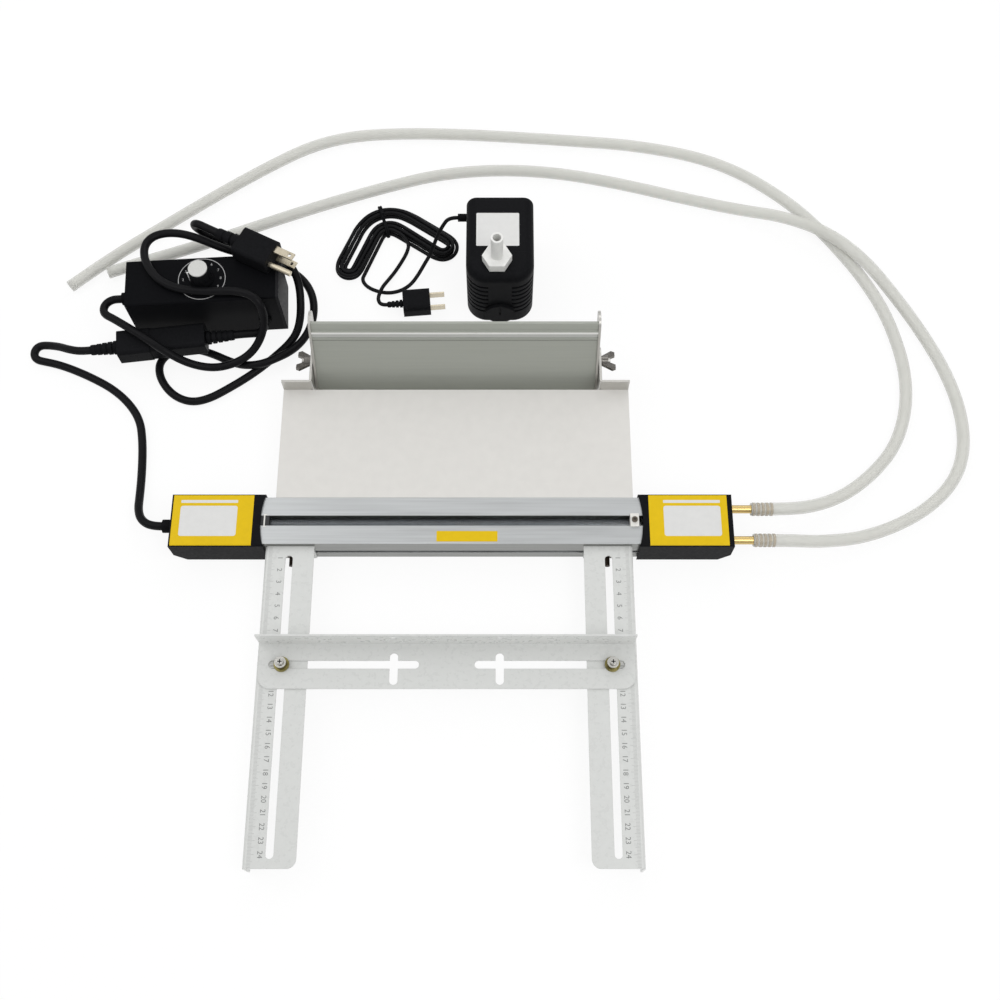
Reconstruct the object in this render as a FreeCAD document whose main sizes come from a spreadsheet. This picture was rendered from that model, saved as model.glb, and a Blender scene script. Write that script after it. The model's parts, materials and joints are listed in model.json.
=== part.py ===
import FreeCAD, Part
import math
import os
import re

import Sketcher
from FreeCAD import Placement, Rotation, Vector

# Desktop strip heater for bending plastic sheet, with its stop fence, angle plate, controller and water pump.
# X runs along the hot line, Y to the rear and Z up. The origin is under the middle of the heater bar.

DOC = FreeCAD.newDocument("strip_heater")
SHEET = DOC.addObject("Spreadsheet::Sheet", "Sizes")

SIZES = {
    # heater bar
    "bar_visible": 300, "bar_tuck": 12, "bar_depth": 40, "bar_height": 31,
    "mouth_width": 8.6, "mouth_lip": 2.2, "chamber_width": 13, "chamber_floor": 10,
    "tee_level": 12.5, "tee_mouth": 4.6, "tee_room": 7.6, "tee_lip": 1.8, "tee_depth": 3.2,
    "bore_dia": 7, "bore_offset": 13.5, "bore_level": 21.5,
    # heater tube
    "tube_dia": 8, "tube_wall": 0.8, "tube_level": 22, "tube_over": 6,
    "tube_length": "=bar_visible + tube_over",
    "wire_dia": 0.7, "curl_radius": 2.3, "curl_pitch": 1.8, "curl_turns": 11,
    "curl_first": "=-0.448 * tube_length", "curl_second": "=0.0085 * tube_length",
    "curl_third": "=0.3955 * tube_length",
    "clamp_length": 7, "clamp_plate_width": 11, "clamp_plate_thick": 2, "clamp_screw_dia": 4.7,
    # end caps
    "cap_length": 76, "cap_depth": 45, "cap_height": 33, "cap_wall": 2.2, "cap_taper": 9, "cap_round": 2,
    "cap_hollow": 3.2, "fit_gap": 0.1, "lead_level": 18,
    # water pipes and hoses
    "pipe_dia": 6.8, "pipe_bore": 4.6, "pipe_bare": 17, "barb_length": 18, "barb_count": 4, "barb_dia": 7.6,
    "hose_dia": 10.5, "hose_bore": 7.8,
    # ruler arms
    "arm_length": 250, "arm_width": 39.5, "arm_top": 26, "sheet_thick": 1.5, "arm_inset_left": 20,
    "arm_inset_right": 24,
    "arm_left": "=arm_inset_left - bar_visible / 2", "arm_right": "=bar_visible / 2 - arm_inset_right",
    "arm_slot": 6,
    "arm_slot_start": 8, "arm_slot_end": 243, "bend_radius": 3, "arm_corner": 7, "tee_bolt_dia": 4,
    "tee_bolt_reach": 11, "tee_head_height": 7, "tee_head_thick": 2.6, "nut_flats": 7, "nut_thick": 3.2,
    "slide_gap": 0.1,
    # stop fence
    "fence_short": 8, "fence_length": "=bar_visible - fence_short", "fence_shift": -2.2, "fence_depth": 37,
    "fence_rear": -100, "fence_rise": 24,
    "fence_corner": 10,
    "fence_slot_near": 21.5, "slot_margin": 8, "fence_slot_far": "=fence_length / 2 - slot_margin",
    "fence_slot_width": 6.4, "cross_offset": 41,
    "cross_length": 25, "cross_inset": 21.4, "eye_dia": 6.5, "eye_level": 16.5, "slot_inset": 18,
    "clamp_bolt_dia": 5, "clamp_head_dia": 8.6, "clamp_head_thick": 4, "washer_dia": 12, "washer_thick": 1.4,
    "clamp_nut_dia": 9, "clamp_nut_thick": 6,
    # board and angle plate
    "board_inset": 5, "board_length": "=bar_visible - 2 * board_inset", "board_depth": 98,
    "board_thick": 31, "board_shift": 2, "bracket_flange": 25,
    "bracket_leg": 36, "bracket_top": 45, "bracket_foot": 6, "bracket_thick": 2, "pivot_behind": 24,
    "pivot_level": 37, "pivot_dia": 5, "plate_inset": 27.5,
    "plate_width": "=board_length - 2 * plate_inset", "plate_above": 46, "plate_below": 24,
    "plate_thick": 3, "plate_lean": 23, "plate_ahead": 9, "rib_height": 2, "side_thick": 2, "side_depth": 19,
    "side_above": 4, "side_round": 8, "pivot_head_dia": 9.5, "pivot_head_thick": 2.6, "wing_span": 24,
    "wing_thick": 2.4, "wing_height": 9, "wing_hub_dia": 9, "wing_hub_length": 6,
    # controller
    "box_x": -215.1, "box_y": 211.2, "box_turn": 3.6, "box_length": 130, "box_depth": 44, "box_height": 55,
    "box_wall": 2, "box_round": 2, "end_thick": 2.5, "shaft_dia": 6, "bush_dia": 9, "pot_dia": 20,
    "pot_thick": 10, "knob_dia": 19, "knob_skirt": 20, "knob_height": 15, "knob_foot": 0.6, "knob_flutes": 12,
    "cap_disc_dia": 16, "cap_disc_thick": 1.2, "gland_length": 9, "gland_dia": 11, "gland_level": 30,
    "outlet_level": 20, "outlet_along": 48, "outlet_collar": 2,
    # leads
    "cord_dia": 7, "thin_cord_dia": 3.4, "relief_length": 24, "relief_dia": 12, "relief_ribs": 5,
    "inlet_length": 28, "outlet_length": 47, "coupler_width": 24, "coupler_height": 20, "coupler_round": 4,
    "coupler_x": -290, "coupler_y": 164.5, "coupler_level": 20, "coupler_turn": 7,
    "plug_x": -183, "plug_y": 241, "plug_level": 64.4, "plug_turn": -27, "plug_length": 33, "plug_width": 26,
    "plug_height": 18, "plug_relief": 22, "pin_length": 18, "pin_width": 6.4, "pin_thick": 1.6,
    "pin_pitch": 12.7, "pin_hole_dia": 3, "pin_hole_back": 4, "blade_shift": 5, "earth_dia": 4.8,
    "earth_shift": 6.9,
    # pump
    "pump_x": 39, "pump_front": 203, "pump_length": 83, "pump_width": 58, "pump_height": 70, "pump_round": 9,
    "front_round": 18, "cover_depth": 26, "louvre_count": 7, "louvre_width": 19, "louvre_height": 2.6,
    "louvre_pitch": 6.4, "louvre_first": 14, "louvre_deep": 3, "dial_dia": 26, "dial_thick": 3,
    "dial_level": 15, "nozzle_y": 220, "nozzle_shift": 2.5,
    "hex_flats": 22, "hex_thick": 8, "nozzle_dia": 10.4, "nozzle_bore": 7, "nozzle_height": 34,
    "pump_gland_y": 280, "pump_gland_level": 45, "pump_gland_length": 8, "pump_gland_dia": 7,
    "small_plug_x": -47, "small_plug_y": 215.4, "small_plug_level": 7.7, "small_plug_turn": 5,
    "small_plug_length": 24, "small_plug_width": 22, "small_plug_height": 15, "small_relief_length": 14,
    "small_relief_dia": 7,
    # hank of the pump cord
    "hank_tip_x": -97, "hank_tip_y": 256, "hank_left": 40, "hank_right": 44, "hank_bend": 22,
    "hank_heading": 68, "hank_turn": 103, "hank_inner": 3.6, "hank_pitch": 3.9, "hank_loops": 3,
    "hank_lift": 3.9,
}

for row, alias in enumerate(SIZES, 1):
    SHEET.set(f"A{row}", alias)
    SHEET.setAlias(f"B{row}", alias)
for row, size in enumerate(SIZES.values(), 1):
    SHEET.set(f"B{row}", str(size))
DOC.recompute()


def bound(text):
    """Expression text in which each size's name points at its cell."""
    return re.sub(r"[a-z_]{3,}", lambda m: "Sizes." * (m.group() in SIZES) + m.group(), str(text))


def value(text):
    """Number that such an expression has now."""
    got = SHEET.evalExpression(bound(text))
    return float(getattr(got, "Value", got))


def tie(item, **links):
    """Bind properties of an object to the sheet."""
    for key, text in links.items():
        item.setExpression(key.replace("__", "."), bound(text))
    return item


def at(item, x=0, y=0, z=0):
    """Bind an object's place to the sheet."""
    for key, text in zip("xyz", (x, y, z)):
        item.setExpression(f"Placement.Base.{key}", bound(text))
    return item


def box(x, y, z):
    """Block between three pairs of bounds."""
    item = DOC.addObject("Part::Box", "block")
    for key, (low, high) in zip(("Length", "Width", "Height"), (x, y, z)):
        item.setExpression(key, bound(f"({high}) - ({low})"))
    return at(item, x[0], y[0], z[0])


def rod(axis, centre, radius, span):
    """Cylinder along X, Y or Z; centre gives the other two coordinates in order."""
    item = DOC.addObject("Part::Cylinder", "rod")
    tie(item, Radius=radius, Height=f"({span[1]}) - ({span[0]})")
    turn = {"X": Rotation(Vector(0, 1, 0), 90), "Y": Rotation(Vector(1, 0, 0), -90), "Z": Rotation()}[axis]
    item.Placement = Placement(Vector(), turn)
    spots = {"X": (span[0], *centre), "Y": (centre[0], span[0], centre[1]), "Z": (*centre, span[0])}[axis]
    return at(item, *spots)


def cone(axis, centre, radii, span):
    """Cone frustum along X."""
    item = DOC.addObject("Part::Cone", "taper")
    tie(item, Radius1=radii[0], Radius2=radii[1], Height=f"({span[1]}) - ({span[0]})")
    item.Placement = Placement(Vector(), Rotation(Vector(0, 1, 0), 90))
    return at(item, span[0], *centre)


def fuse(*items):
    item = DOC.addObject("Part::MultiFuse", "joined")
    item.Shapes = list(items)
    item.Refine = True
    return item


def cut(base, *tools):
    item = DOC.addObject("Part::Cut", "cut")
    item.Base = base
    item.Tool = tools[0] if len(tools) == 1 else fuse(*tools)
    return item


def group(*items):
    item = DOC.addObject("Part::Compound", "group")
    item.Links = list(items)
    return item


def prism(kind, centre, flats, span, sides=6):
    """Upright regular prism by its width across flats."""
    item = DOC.addObject("Part::Prism", kind)
    item.Polygon = sides
    tie(item, Circumradius=f"({flats}) / (2 * cos(180 deg / {sides}))", Height=f"({span[1]}) - ({span[0]})")
    return at(item, centre[0], centre[1], span[0])


def lying_nut(centre, flats, span, axis):
    """Regular hexagonal nut with its axis along X or Y."""
    item = DOC.addObject("Part::Prism", "nut")
    item.Polygon = 6
    tie(item, Circumradius=f"({flats}) / (2 * cos(30 deg))", Height=f"({span[1]}) - ({span[0]})")
    turn = Rotation(Vector(1, 0, 0), -90) if axis == "Y" else Rotation(Vector(0, 1, 0), 90)
    item.Placement = Placement(Vector(), turn)
    spots = (centre[0], span[0], centre[1]) if axis == "Y" else (span[0], *centre)
    return at(item, *spots)


def slot(axis, start, end, across, width, z):
    """Upright cutter for a round-ended slot along X or Y."""
    half = f"({width}) / 2"
    low, high = f"({across}) - {half}", f"({across}) + {half}"
    if axis == "X":
        ends = [rod("Z", (f"({e}) {s} {half}", across), half, z) for e, s in ((start, "+"), (end, "-"))]
        return fuse(box((f"({start}) + {half}", f"({end}) - {half}"), (low, high), z), *ends)
    ends = [rod("Z", (across, f"({e}) {s} {half}"), half, z) for e, s in ((start, "+"), (end, "-"))]
    return fuse(box((low, high), (f"({start}) + {half}", f"({end}) - {half}"), z), *ends)


def sketch_on(body, plane, lift, name):
    """Sketch on one of the body's own planes, lifted along that plane's normal."""
    sketch = body.newObject("Sketcher::SketchObject", name)
    support = [f for f in body.Origin.OriginFeatures if f.Role == plane + "_Plane"][0]
    sketch.AttachmentSupport = [(support, "")]
    sketch.MapMode = "FlatFace"
    sketch.setExpression("AttachmentOffset.Base.z", bound(lift))
    return sketch


def outline(sketch, corners):
    """Closed outline whose every corner is dimensioned from the sketch's origin."""
    spots = [Vector(value(x), value(y), 0) for x, y in corners]
    first = sketch.GeometryCount
    count = len(spots)
    for i, spot in enumerate(spots):
        sketch.addGeometry(Part.LineSegment(spot, spots[(i + 1) % count]), False)
    for i in range(count):
        sketch.addConstraint(Sketcher.Constraint("Coincident", first + i, 2, first + (i + 1) % count, 1))
    for i, (x, y) in enumerate(corners):
        for kind, text, number in (("DistanceX", x, spots[i].x), ("DistanceY", y, spots[i].y)):
            mark = sketch.addConstraint(Sketcher.Constraint(kind, -1, 1, first + i, 1, number))
            sketch.setExpression(f"Constraints[{mark}]", bound(text))


def ring(sketch, x, y, radius):
    """Circle dimensioned from the sketch's origin."""
    mark = sketch.addGeometry(Part.Circle(Vector(value(x), value(y), 0), Vector(0, 0, 1), value(radius)),
                              False)
    for kind, text in (("DistanceX", x), ("DistanceY", y)):
        spot = sketch.addConstraint(Sketcher.Constraint(kind, -1, 1, mark, 3, value(text)))
        sketch.setExpression(f"Constraints[{spot}]", bound(text))
    spot = sketch.addConstraint(Sketcher.Constraint("Radius", mark, value(radius)))
    sketch.setExpression(f"Constraints[{spot}]", bound(radius))


def extruded(name, plane, corners, span, rings=()):
    """Body padded from an outline, from span[0] to span[1] along the plane's axis."""
    body = DOC.addObject("PartDesign::Body", name)
    back = plane == "XZ"
    sketch = sketch_on(body, plane, f"-({span[0]})" if back else span[0], name + "_outline")
    outline(sketch, corners)
    for spot in rings:
        ring(sketch, *spot)
    pad = body.newObject("PartDesign::Pad", name + "_pad")
    pad.Profile = sketch
    pad.setExpression("Length", bound(f"({span[1]}) - ({span[0]})"))
    pad.Reversed = back
    body.Tip = pad
    DOC.recompute()
    return body


def turned(name, corners):
    """Body revolved about Z from an outline of radius and height."""
    body = DOC.addObject("PartDesign::Body", name)
    sketch = sketch_on(body, "XZ", "0", name + "_outline")
    outline(sketch, corners)
    spin = body.newObject("PartDesign::Revolution", name + "_turn")
    spin.Profile = sketch
    spin.ReferenceAxis = (sketch, ["V_Axis"])
    spin.Angle = 360
    body.Tip = spin
    DOC.recompute()
    return body


def softened(body, radius, chosen, kind="Fillet"):
    """Round or bevel the chosen edges of a body."""
    DOC.recompute()
    base = body.Tip
    names = [f"Edge{i}" for i, edge in enumerate(base.Shape.Edges, 1) if chosen(edge)]
    if not names:
        raise RuntimeError(f"no edge to soften on {body.Name}")
    step = body.newObject("PartDesign::" + kind, body.Name + "_" + kind.lower())
    step.Base = (base, names)
    step.setExpression("Radius" if kind == "Fillet" else "Size", bound(radius))
    body.Tip = step
    DOC.recompute()
    return body


def along(edge, axis):
    """Whether a straight edge runs along an axis."""
    if len(edge.Vertexes) < 2 or edge.Curve.TypeId != "Part::GeomLine":
        return False
    way = edge.Vertexes[1].Point - edge.Vertexes[0].Point
    return abs(abs(way.normalize().dot(axis)) - 1) < 1e-6


def near(edge, **spots):
    """Whether the middle of an edge has these coordinates."""
    middle = edge.CenterOfMass
    return all(abs(getattr(middle, key) - value(text)) < 1e-3 for key, text in spots.items())


EX, EY, EZ = Vector(1, 0, 0), Vector(0, 1, 0), Vector(0, 0, 1)
NODES = {}


def node(name, item):
    """Keep an object as one named sub-part."""
    item.Label = name
    NODES[name] = item
    return item


# Heater bar: one extrusion with the hot slot, two tee slots and two water bores.
half_bar = "(bar_visible / 2 + bar_tuck)"
face = "bar_depth / 2"
lip = f"{face} - tee_lip"
deep = f"{face} - tee_lip - tee_depth"
tee_low, tee_high = "tee_level - tee_mouth / 2", "tee_level + tee_mouth / 2"
room_low, room_high = "tee_level - tee_room / 2", "tee_level + tee_room / 2"
under_lip = "bar_height - mouth_lip"


def tee_slot(side):
    """Corners of a tee slot, from its lower mouth edge to its upper one."""
    steps = [(face, tee_low), (lip, tee_low), (lip, room_low), (deep, room_low)]
    steps += [(deep, room_high), (lip, room_high), (lip, tee_high), (face, tee_high)]
    return [(f"{side} * ({y})", z) for y, z in steps]


bar_corners = [("-bar_depth / 2", "0"), ("bar_depth / 2", "0")]
bar_corners += tee_slot("1")
bar_corners += [("bar_depth / 2", "bar_height"), ("mouth_width / 2", "bar_height"),
                ("mouth_width / 2", under_lip)]
bar_corners += [("chamber_width / 2", under_lip), ("chamber_width / 2", "chamber_floor")]
bar_corners += [("-chamber_width / 2", "chamber_floor"), ("-chamber_width / 2", under_lip)]
bar_corners += [("-mouth_width / 2", under_lip), ("-mouth_width / 2", "bar_height"),
                ("-bar_depth / 2", "bar_height")]
bar_corners += reversed(tee_slot("-1"))
bores = [(f"{side} * bore_offset", "bore_level", "bore_dia / 2") for side in (1, -1)]
node("heater_bar", extruded("heater_bar", "YZ", bar_corners, (f"-{half_bar}", half_bar), bores))

# Quartz tube in the slot, with the clamps that hold its ends.
tube_span = ("-tube_length / 2", "tube_length / 2")
tube_spot = ("0", "tube_level")
node("quartz_tube", cut(rod("X", tube_spot, "tube_dia / 2", tube_span),
                        rod("X", tube_spot, "tube_dia / 2 - tube_wall", tube_span)))
saddle = f"tube_dia / 2 + fit_gap"
clamp_end = "bar_visible / 2 + 1"
clamp_span = (f"{clamp_end} - clamp_length", clamp_end)
stem_half = "(mouth_width / 2 - 0.3)"
stem_floor = "tube_level + tube_dia / 4"
right_stem = box(clamp_span, (f"-{stem_half}", stem_half), (stem_floor, "bar_height"))
right_plate = box(clamp_span, ("-clamp_plate_width / 2", "clamp_plate_width / 2"),
                  ("bar_height", "bar_height + clamp_plate_thick"))
screw_x = f"{clamp_end} - clamp_length / 2"
screw_top = "bar_height + clamp_plate_thick"
clamp_hole = rod("Z", (screw_x, "0"), "clamp_screw_dia / 4 + fit_gap / 2",
                 (f"{screw_top} - 4", f"{screw_top} + 1"))
saddle_cut = rod("X", tube_spot, saddle, (f"{clamp_span[0]} - 1", f"{clamp_span[1]} + 1"))
node("tube_clamp_right", cut(fuse(right_stem, right_plate), saddle_cut, clamp_hole))
node("tube_clamp_screw",
     fuse(rod("Z", (screw_x, "0"), "clamp_screw_dia / 4", (f"{screw_top} - 3.8", screw_top)),
                              rod("Z", (screw_x, "0"), "clamp_screw_dia / 2",
                                  (screw_top, f"{screw_top} + 1.8"))))
left_span = (f"-{half_bar} + 2", f"-{half_bar} + 2 + bar_tuck + 0.8")
left_block = box(left_span, (f"-{stem_half}", stem_half), (stem_floor, "bar_height - fit_gap"))
node("tube_clamp_left",
     cut(left_block, rod("X", tube_spot, saddle, (f"{left_span[0]} - 1", f"{left_span[1]} + 1"))))

# End caps: hollow mouldings over the bar's ends, hollowed at the inner edge and tapered under the outer end.
cap_start = "(bar_visible / 2 + 1)"
cap_end = "(bar_visible / 2 + 1 + cap_length)"
taper_rise = "cap_taper * 1.2"


def end_cap(name, side, holes):
    """One end cap, made on the right for side 1 and on the left for side -1."""
    def span(low, high):
        return (low, high) if side == 1 else (f"-({high})", f"-({low})")

    corners = [(cap_start, "0"), (f"{cap_end} - cap_taper", "0"), (cap_end, taper_rise)]
    corners += [(cap_end, "cap_height"), (cap_start, "cap_height")]
    shell = extruded(name + "_shell", "XZ", [(f"{side} * ({x})", z) for x, z in corners],
                     ("-cap_depth / 2", "cap_depth / 2"))
    softened(shell, "cap_round", lambda e: near(e, z="cap_height") and not near(e, x=f"{side} * {cap_start}"))
    inside = (f"-{face} - fit_gap", f"{face} + fit_gap")
    ceiling = "bar_height + fit_gap"
    socket = box(span(f"{cap_start} - 1", f"{half_bar} + 0.5"), inside, ("-1", ceiling))
    hollow = box(span(half_bar, f"{cap_end} - cap_taper - cap_wall"), inside, ("cap_wall", ceiling))
    sweep = "((cap_depth * cap_depth / 4 + cap_hollow * cap_hollow) / (2 * cap_hollow))"
    scoop = rod("Z", (f"{side} * ({cap_start} + cap_hollow - {sweep})", "0"), sweep, ("-1", "cap_height + 1"))
    return node(name, cut(shell, socket, hollow, scoop, *holes))


wall_span = (f"{cap_end} - cap_taper - cap_wall - 1", f"{cap_end} + 1")
pipe_holes = [rod("X", (f"{s} * bore_offset", "bore_level"), "pipe_dia / 2 + fit_gap",
                  wall_span) for s in (1, -1)]
end_cap("end_cap_right", 1, pipe_holes)
lead_hole = rod("X", ("0", "lead_level"), "cord_dia / 2 + 0.8", (f"-({wall_span[1]})", f"-({wall_span[0]})"))
end_cap("end_cap_left", -1, [lead_hole])
lead_neck = rod("X", ("0", "lead_level"), "cord_dia / 2 + 0.7", (f"-{cap_end}", f"-{cap_end} + cap_wall"))
lead_collar = rod("X", ("0", "lead_level"), "gland_dia / 2", (f"-{cap_end} - gland_length", f"-{cap_end}"))
node("heater_gland", fuse(lead_neck, lead_collar))


def water_pipe(name, side):
    """Brass pipe from a water bore out through the cap, with barbs for the hose."""
    spot = (f"{side} * bore_offset", "bore_level")
    bare_end = f"{cap_end} + pipe_bare"
    solid = [rod("X", spot, "pipe_dia / 2", (f"{half_bar} - 10", f"{bare_end}"))]
    for i in range(round(value("barb_count"))):
        span = [f"{bare_end} + {k} * barb_length / barb_count" for k in (i, i + 1)]
        solid.append(cone("X", spot, ("barb_dia / 2", "pipe_dia / 2 - 0.3"), span))
    bore = rod("X", spot, "pipe_bore / 2", (f"{half_bar} - 11", f"{bare_end} + barb_length + 1"))
    return node(name, cut(fuse(*solid), bore))


water_pipe("water_pipe_rear", 1)
water_pipe("water_pipe_front", -1)

# Ruler arms: sheet folded down along the outer side and at the rear, where a tee bolt holds it to the bar.
arm_rear = f"-({face} + slide_gap)"
arm_front = f"{arm_rear} - arm_length"
arm_under = "arm_top - sheet_thick"
tab_front = f"{arm_rear} - sheet_thick"


def ruler_arm(name, centre, side):
    outer, inner = f"{centre} + {side} * arm_width / 2", f"{centre} - {side} * arm_width / 2"
    leg = f"{outer} - {side} * sheet_thick"
    corners = [(outer, "0"), (outer, "arm_top"), (inner, "arm_top"), (inner, arm_under), (leg, arm_under),
               (leg, "0")]
    body = extruded(name + "_sheet", "XZ", corners, (arm_front, arm_rear))
    softened(body, "bend_radius", lambda e: along(e, EY) and near(e, x=outer, z="arm_top"))
    softened(body, "bend_radius - sheet_thick", lambda e: along(e, EY) and near(e, x=leg, z=arm_under))
    softened(body, "arm_corner", lambda e: along(e, EZ) and near(e, x=inner, y=arm_front))
    low, high = (f"{inner} + 1", leg) if side == 1 else (leg, f"{inner} - 1")
    tab = box((low, high), (tab_front, arm_rear), ("1", arm_under))
    opening = slot("Y", f"{arm_rear} - arm_slot_end", f"{arm_rear} - arm_slot_start", centre, "arm_slot",
                   (f"{arm_under} - 1", "arm_top + 1"))
    hole = rod("Y", (centre, "tee_level"), "tee_bolt_dia / 2 + fit_gap",
               (f"{tab_front} - 1", f"{arm_rear} + 1"))
    node(name, cut(fuse(body, tab), opening, hole))
    head = box((f"{centre} - tee_head_height / 2", f"{centre} + tee_head_height / 2"),
               (f"-({lip}) + slide_gap", f"-({lip}) + slide_gap + tee_head_thick"),
               ("tee_level - tee_head_height / 2", "tee_level + tee_head_height / 2"))
    shank = rod("Y", (centre, "tee_level"), "tee_bolt_dia / 2",
                (f"{tab_front} - tee_bolt_reach", f"-({lip}) + slide_gap"))
    nut = cut(lying_nut((centre, "tee_level"), "nut_flats", (f"{tab_front} - nut_thick", tab_front), "Y"),
              rod("Y", (centre, "tee_level"), "tee_bolt_dia / 2 + fit_gap / 2",
                  (f"{tab_front} - nut_thick - 1", f"{tab_front} + 1")))
    node(name + "_fixing", group(fuse(head, shank), nut))


ruler_arm("arm_left", "arm_left", -1)
ruler_arm("arm_right", "arm_right", 1)

# Stop fence: sheet angle that lies on both arms, slotted for its two clamp bolts.
fence_floor = "arm_top + slide_gap"
fence_top = "arm_top + slide_gap + sheet_thick"
fence_front = "fence_rear - fence_depth"
fence_inner = "fence_rear - sheet_thick"
crest = "arm_top + slide_gap + fence_rise"
slot_line = "fence_rear - slot_inset"
fence_corners = [("fence_rear", fence_floor), ("fence_rear", crest), (fence_inner, crest),
                 (fence_inner, fence_top)]
fence_corners += [(fence_front, fence_top), (fence_front, fence_floor)]
fence_ends = ("fence_shift - fence_length / 2", "fence_shift + fence_length / 2")
fence = extruded("fence_sheet", "YZ", fence_corners, fence_ends)
softened(fence, "bend_radius", lambda e: along(e, EX) and near(e, y="fence_rear", z=fence_floor))
softened(fence, "bend_radius - sheet_thick", lambda e: along(e, EX) and near(e, y=fence_inner, z=fence_top))
softened(fence, "fence_corner", lambda e: along(e, EZ) and near(e, y=fence_front))
through = (f"{fence_floor} - 1", f"{fence_top} + 1")
cutters = []
for side in (1, -1):
    near_end, far_end = f"fence_shift + {side} * fence_slot_near", f"fence_shift + {side} * fence_slot_far"
    ends = (near_end, far_end) if side == 1 else (far_end, near_end)
    cutters.append(slot("X", *ends, slot_line, "fence_slot_width", through))
    cross = f"fence_shift + {side} * cross_offset"
    cutters.append(slot("Y", "fence_rear - cross_inset - cross_length / 2",
                        "fence_rear - cross_inset + cross_length / 2",
                        cross, "fence_slot_width", through))
    cutters.append(rod("Y", (cross, f"{fence_floor} + eye_level"), "eye_dia / 2",
                       (f"{fence_inner} - 1", "fence_rear + 1")))
node("fence", cut(fence, *cutters))

for side in ("left", "right"):
    spot = (f"arm_{side}", slot_line)
    washer_top = f"{fence_top} + slide_gap + washer_thick"
    nut_top = f"{washer_top} + clamp_nut_thick"
    head = rod("Z", spot, "clamp_head_dia / 2",
               (f"{arm_under} - slide_gap - clamp_head_thick", f"{arm_under} - slide_gap"))
    shank = rod("Z", spot, "clamp_bolt_dia / 2", (f"{arm_under} - slide_gap", f"{nut_top} + 2.5"))
    node(f"fence_bolt_{side}", fuse(head, shank))
    hole = rod("Z", spot, "clamp_bolt_dia / 2 + fit_gap / 2", (fence_floor, f"{nut_top} + 1"))
    node(f"fence_washer_{side}",
         cut(rod("Z", spot, "washer_dia / 2", (f"{fence_top} + slide_gap", washer_top)), hole))
    node(f"fence_nut_{side}", cut(rod("Z", spot, "clamp_nut_dia / 2", (washer_top, nut_top)), hole))

# Work board behind the bar, with an angle bracket at each end of its rear edge.
board_rear = f"({face} + board_depth)"
board_x = {-1: "(board_shift - board_length / 2)", 1: "(board_shift + board_length / 2)"}
flange_rear = f"{board_rear} + bracket_thick"
pivot_y = f"({board_rear} + pivot_behind)"
pivot = (pivot_y, "pivot_level")
screw_spots = [(f"{board_x[s]} - {s} * {inset}", level) for s in (-1, 1) for inset,
               level in ((7, 12), (15, 24))]
drill = [rod("Y", spot, "1.7", (f"{board_rear} - 14", f"{board_rear} + 1")) for spot in screw_spots]
board = box((board_x[-1], board_x[1]), (face, board_rear), ("0", "board_thick"))
node("work_board", cut(board, *drill))
for name, side in (("angle_bracket_left", -1), ("angle_bracket_right", 1)):
    outer = board_x[side]
    inner = f"{outer} - {side} * bracket_flange"
    leg = f"{inner} + {side} * bracket_thick"
    leg_end = f"{board_rear} + bracket_leg"
    corners = [(outer, board_rear), (inner, board_rear), (inner, leg_end), (leg, leg_end), (leg, flange_rear)]
    corners += [(outer, flange_rear)]
    body = extruded(name + "_steel", "XY", corners, ("bracket_foot", "bracket_top"))
    softened(body, "bend_radius", lambda e: along(e, EZ) and near(e, x=inner, y=board_rear))
    softened(body, "side_round", lambda e: along(e, EX) and near(e, y=leg_end))
    low, high = (f"{inner} - 1", f"{leg} + 1") if side == 1 else (f"{leg} - 1", f"{inner} + 1")
    holes = [rod("X", pivot, "pivot_dia / 2 + fit_gap", (low, high))]
    holes += [rod("Y", s, "1.9", (f"{board_rear} - 1", f"{flange_rear} + 1")) for s in screw_spots]
    node(name, cut(body, *holes))
screws = []
for spot in screw_spots:
    screws.append(fuse(rod("Y", spot, "1.6", (f"{board_rear} - 12", flange_rear)),
                       rod("Y", spot, "3.4", (flange_rear, f"{flange_rear} + 2.4"))))
node("bracket_screws", group(*screws))


# Tilting plate, drawn upright about its pivot and then leaned back.
def leaned(name, item):
    item.Placement = Placement(Vector(), Rotation(Vector(-1, 0, 0), value("plate_lean")))
    at(item, "board_shift", pivot_y, "pivot_level")
    tie(item, Placement__Rotation__Angle="plate_lean * 1 deg")
    return node(name, item)


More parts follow.
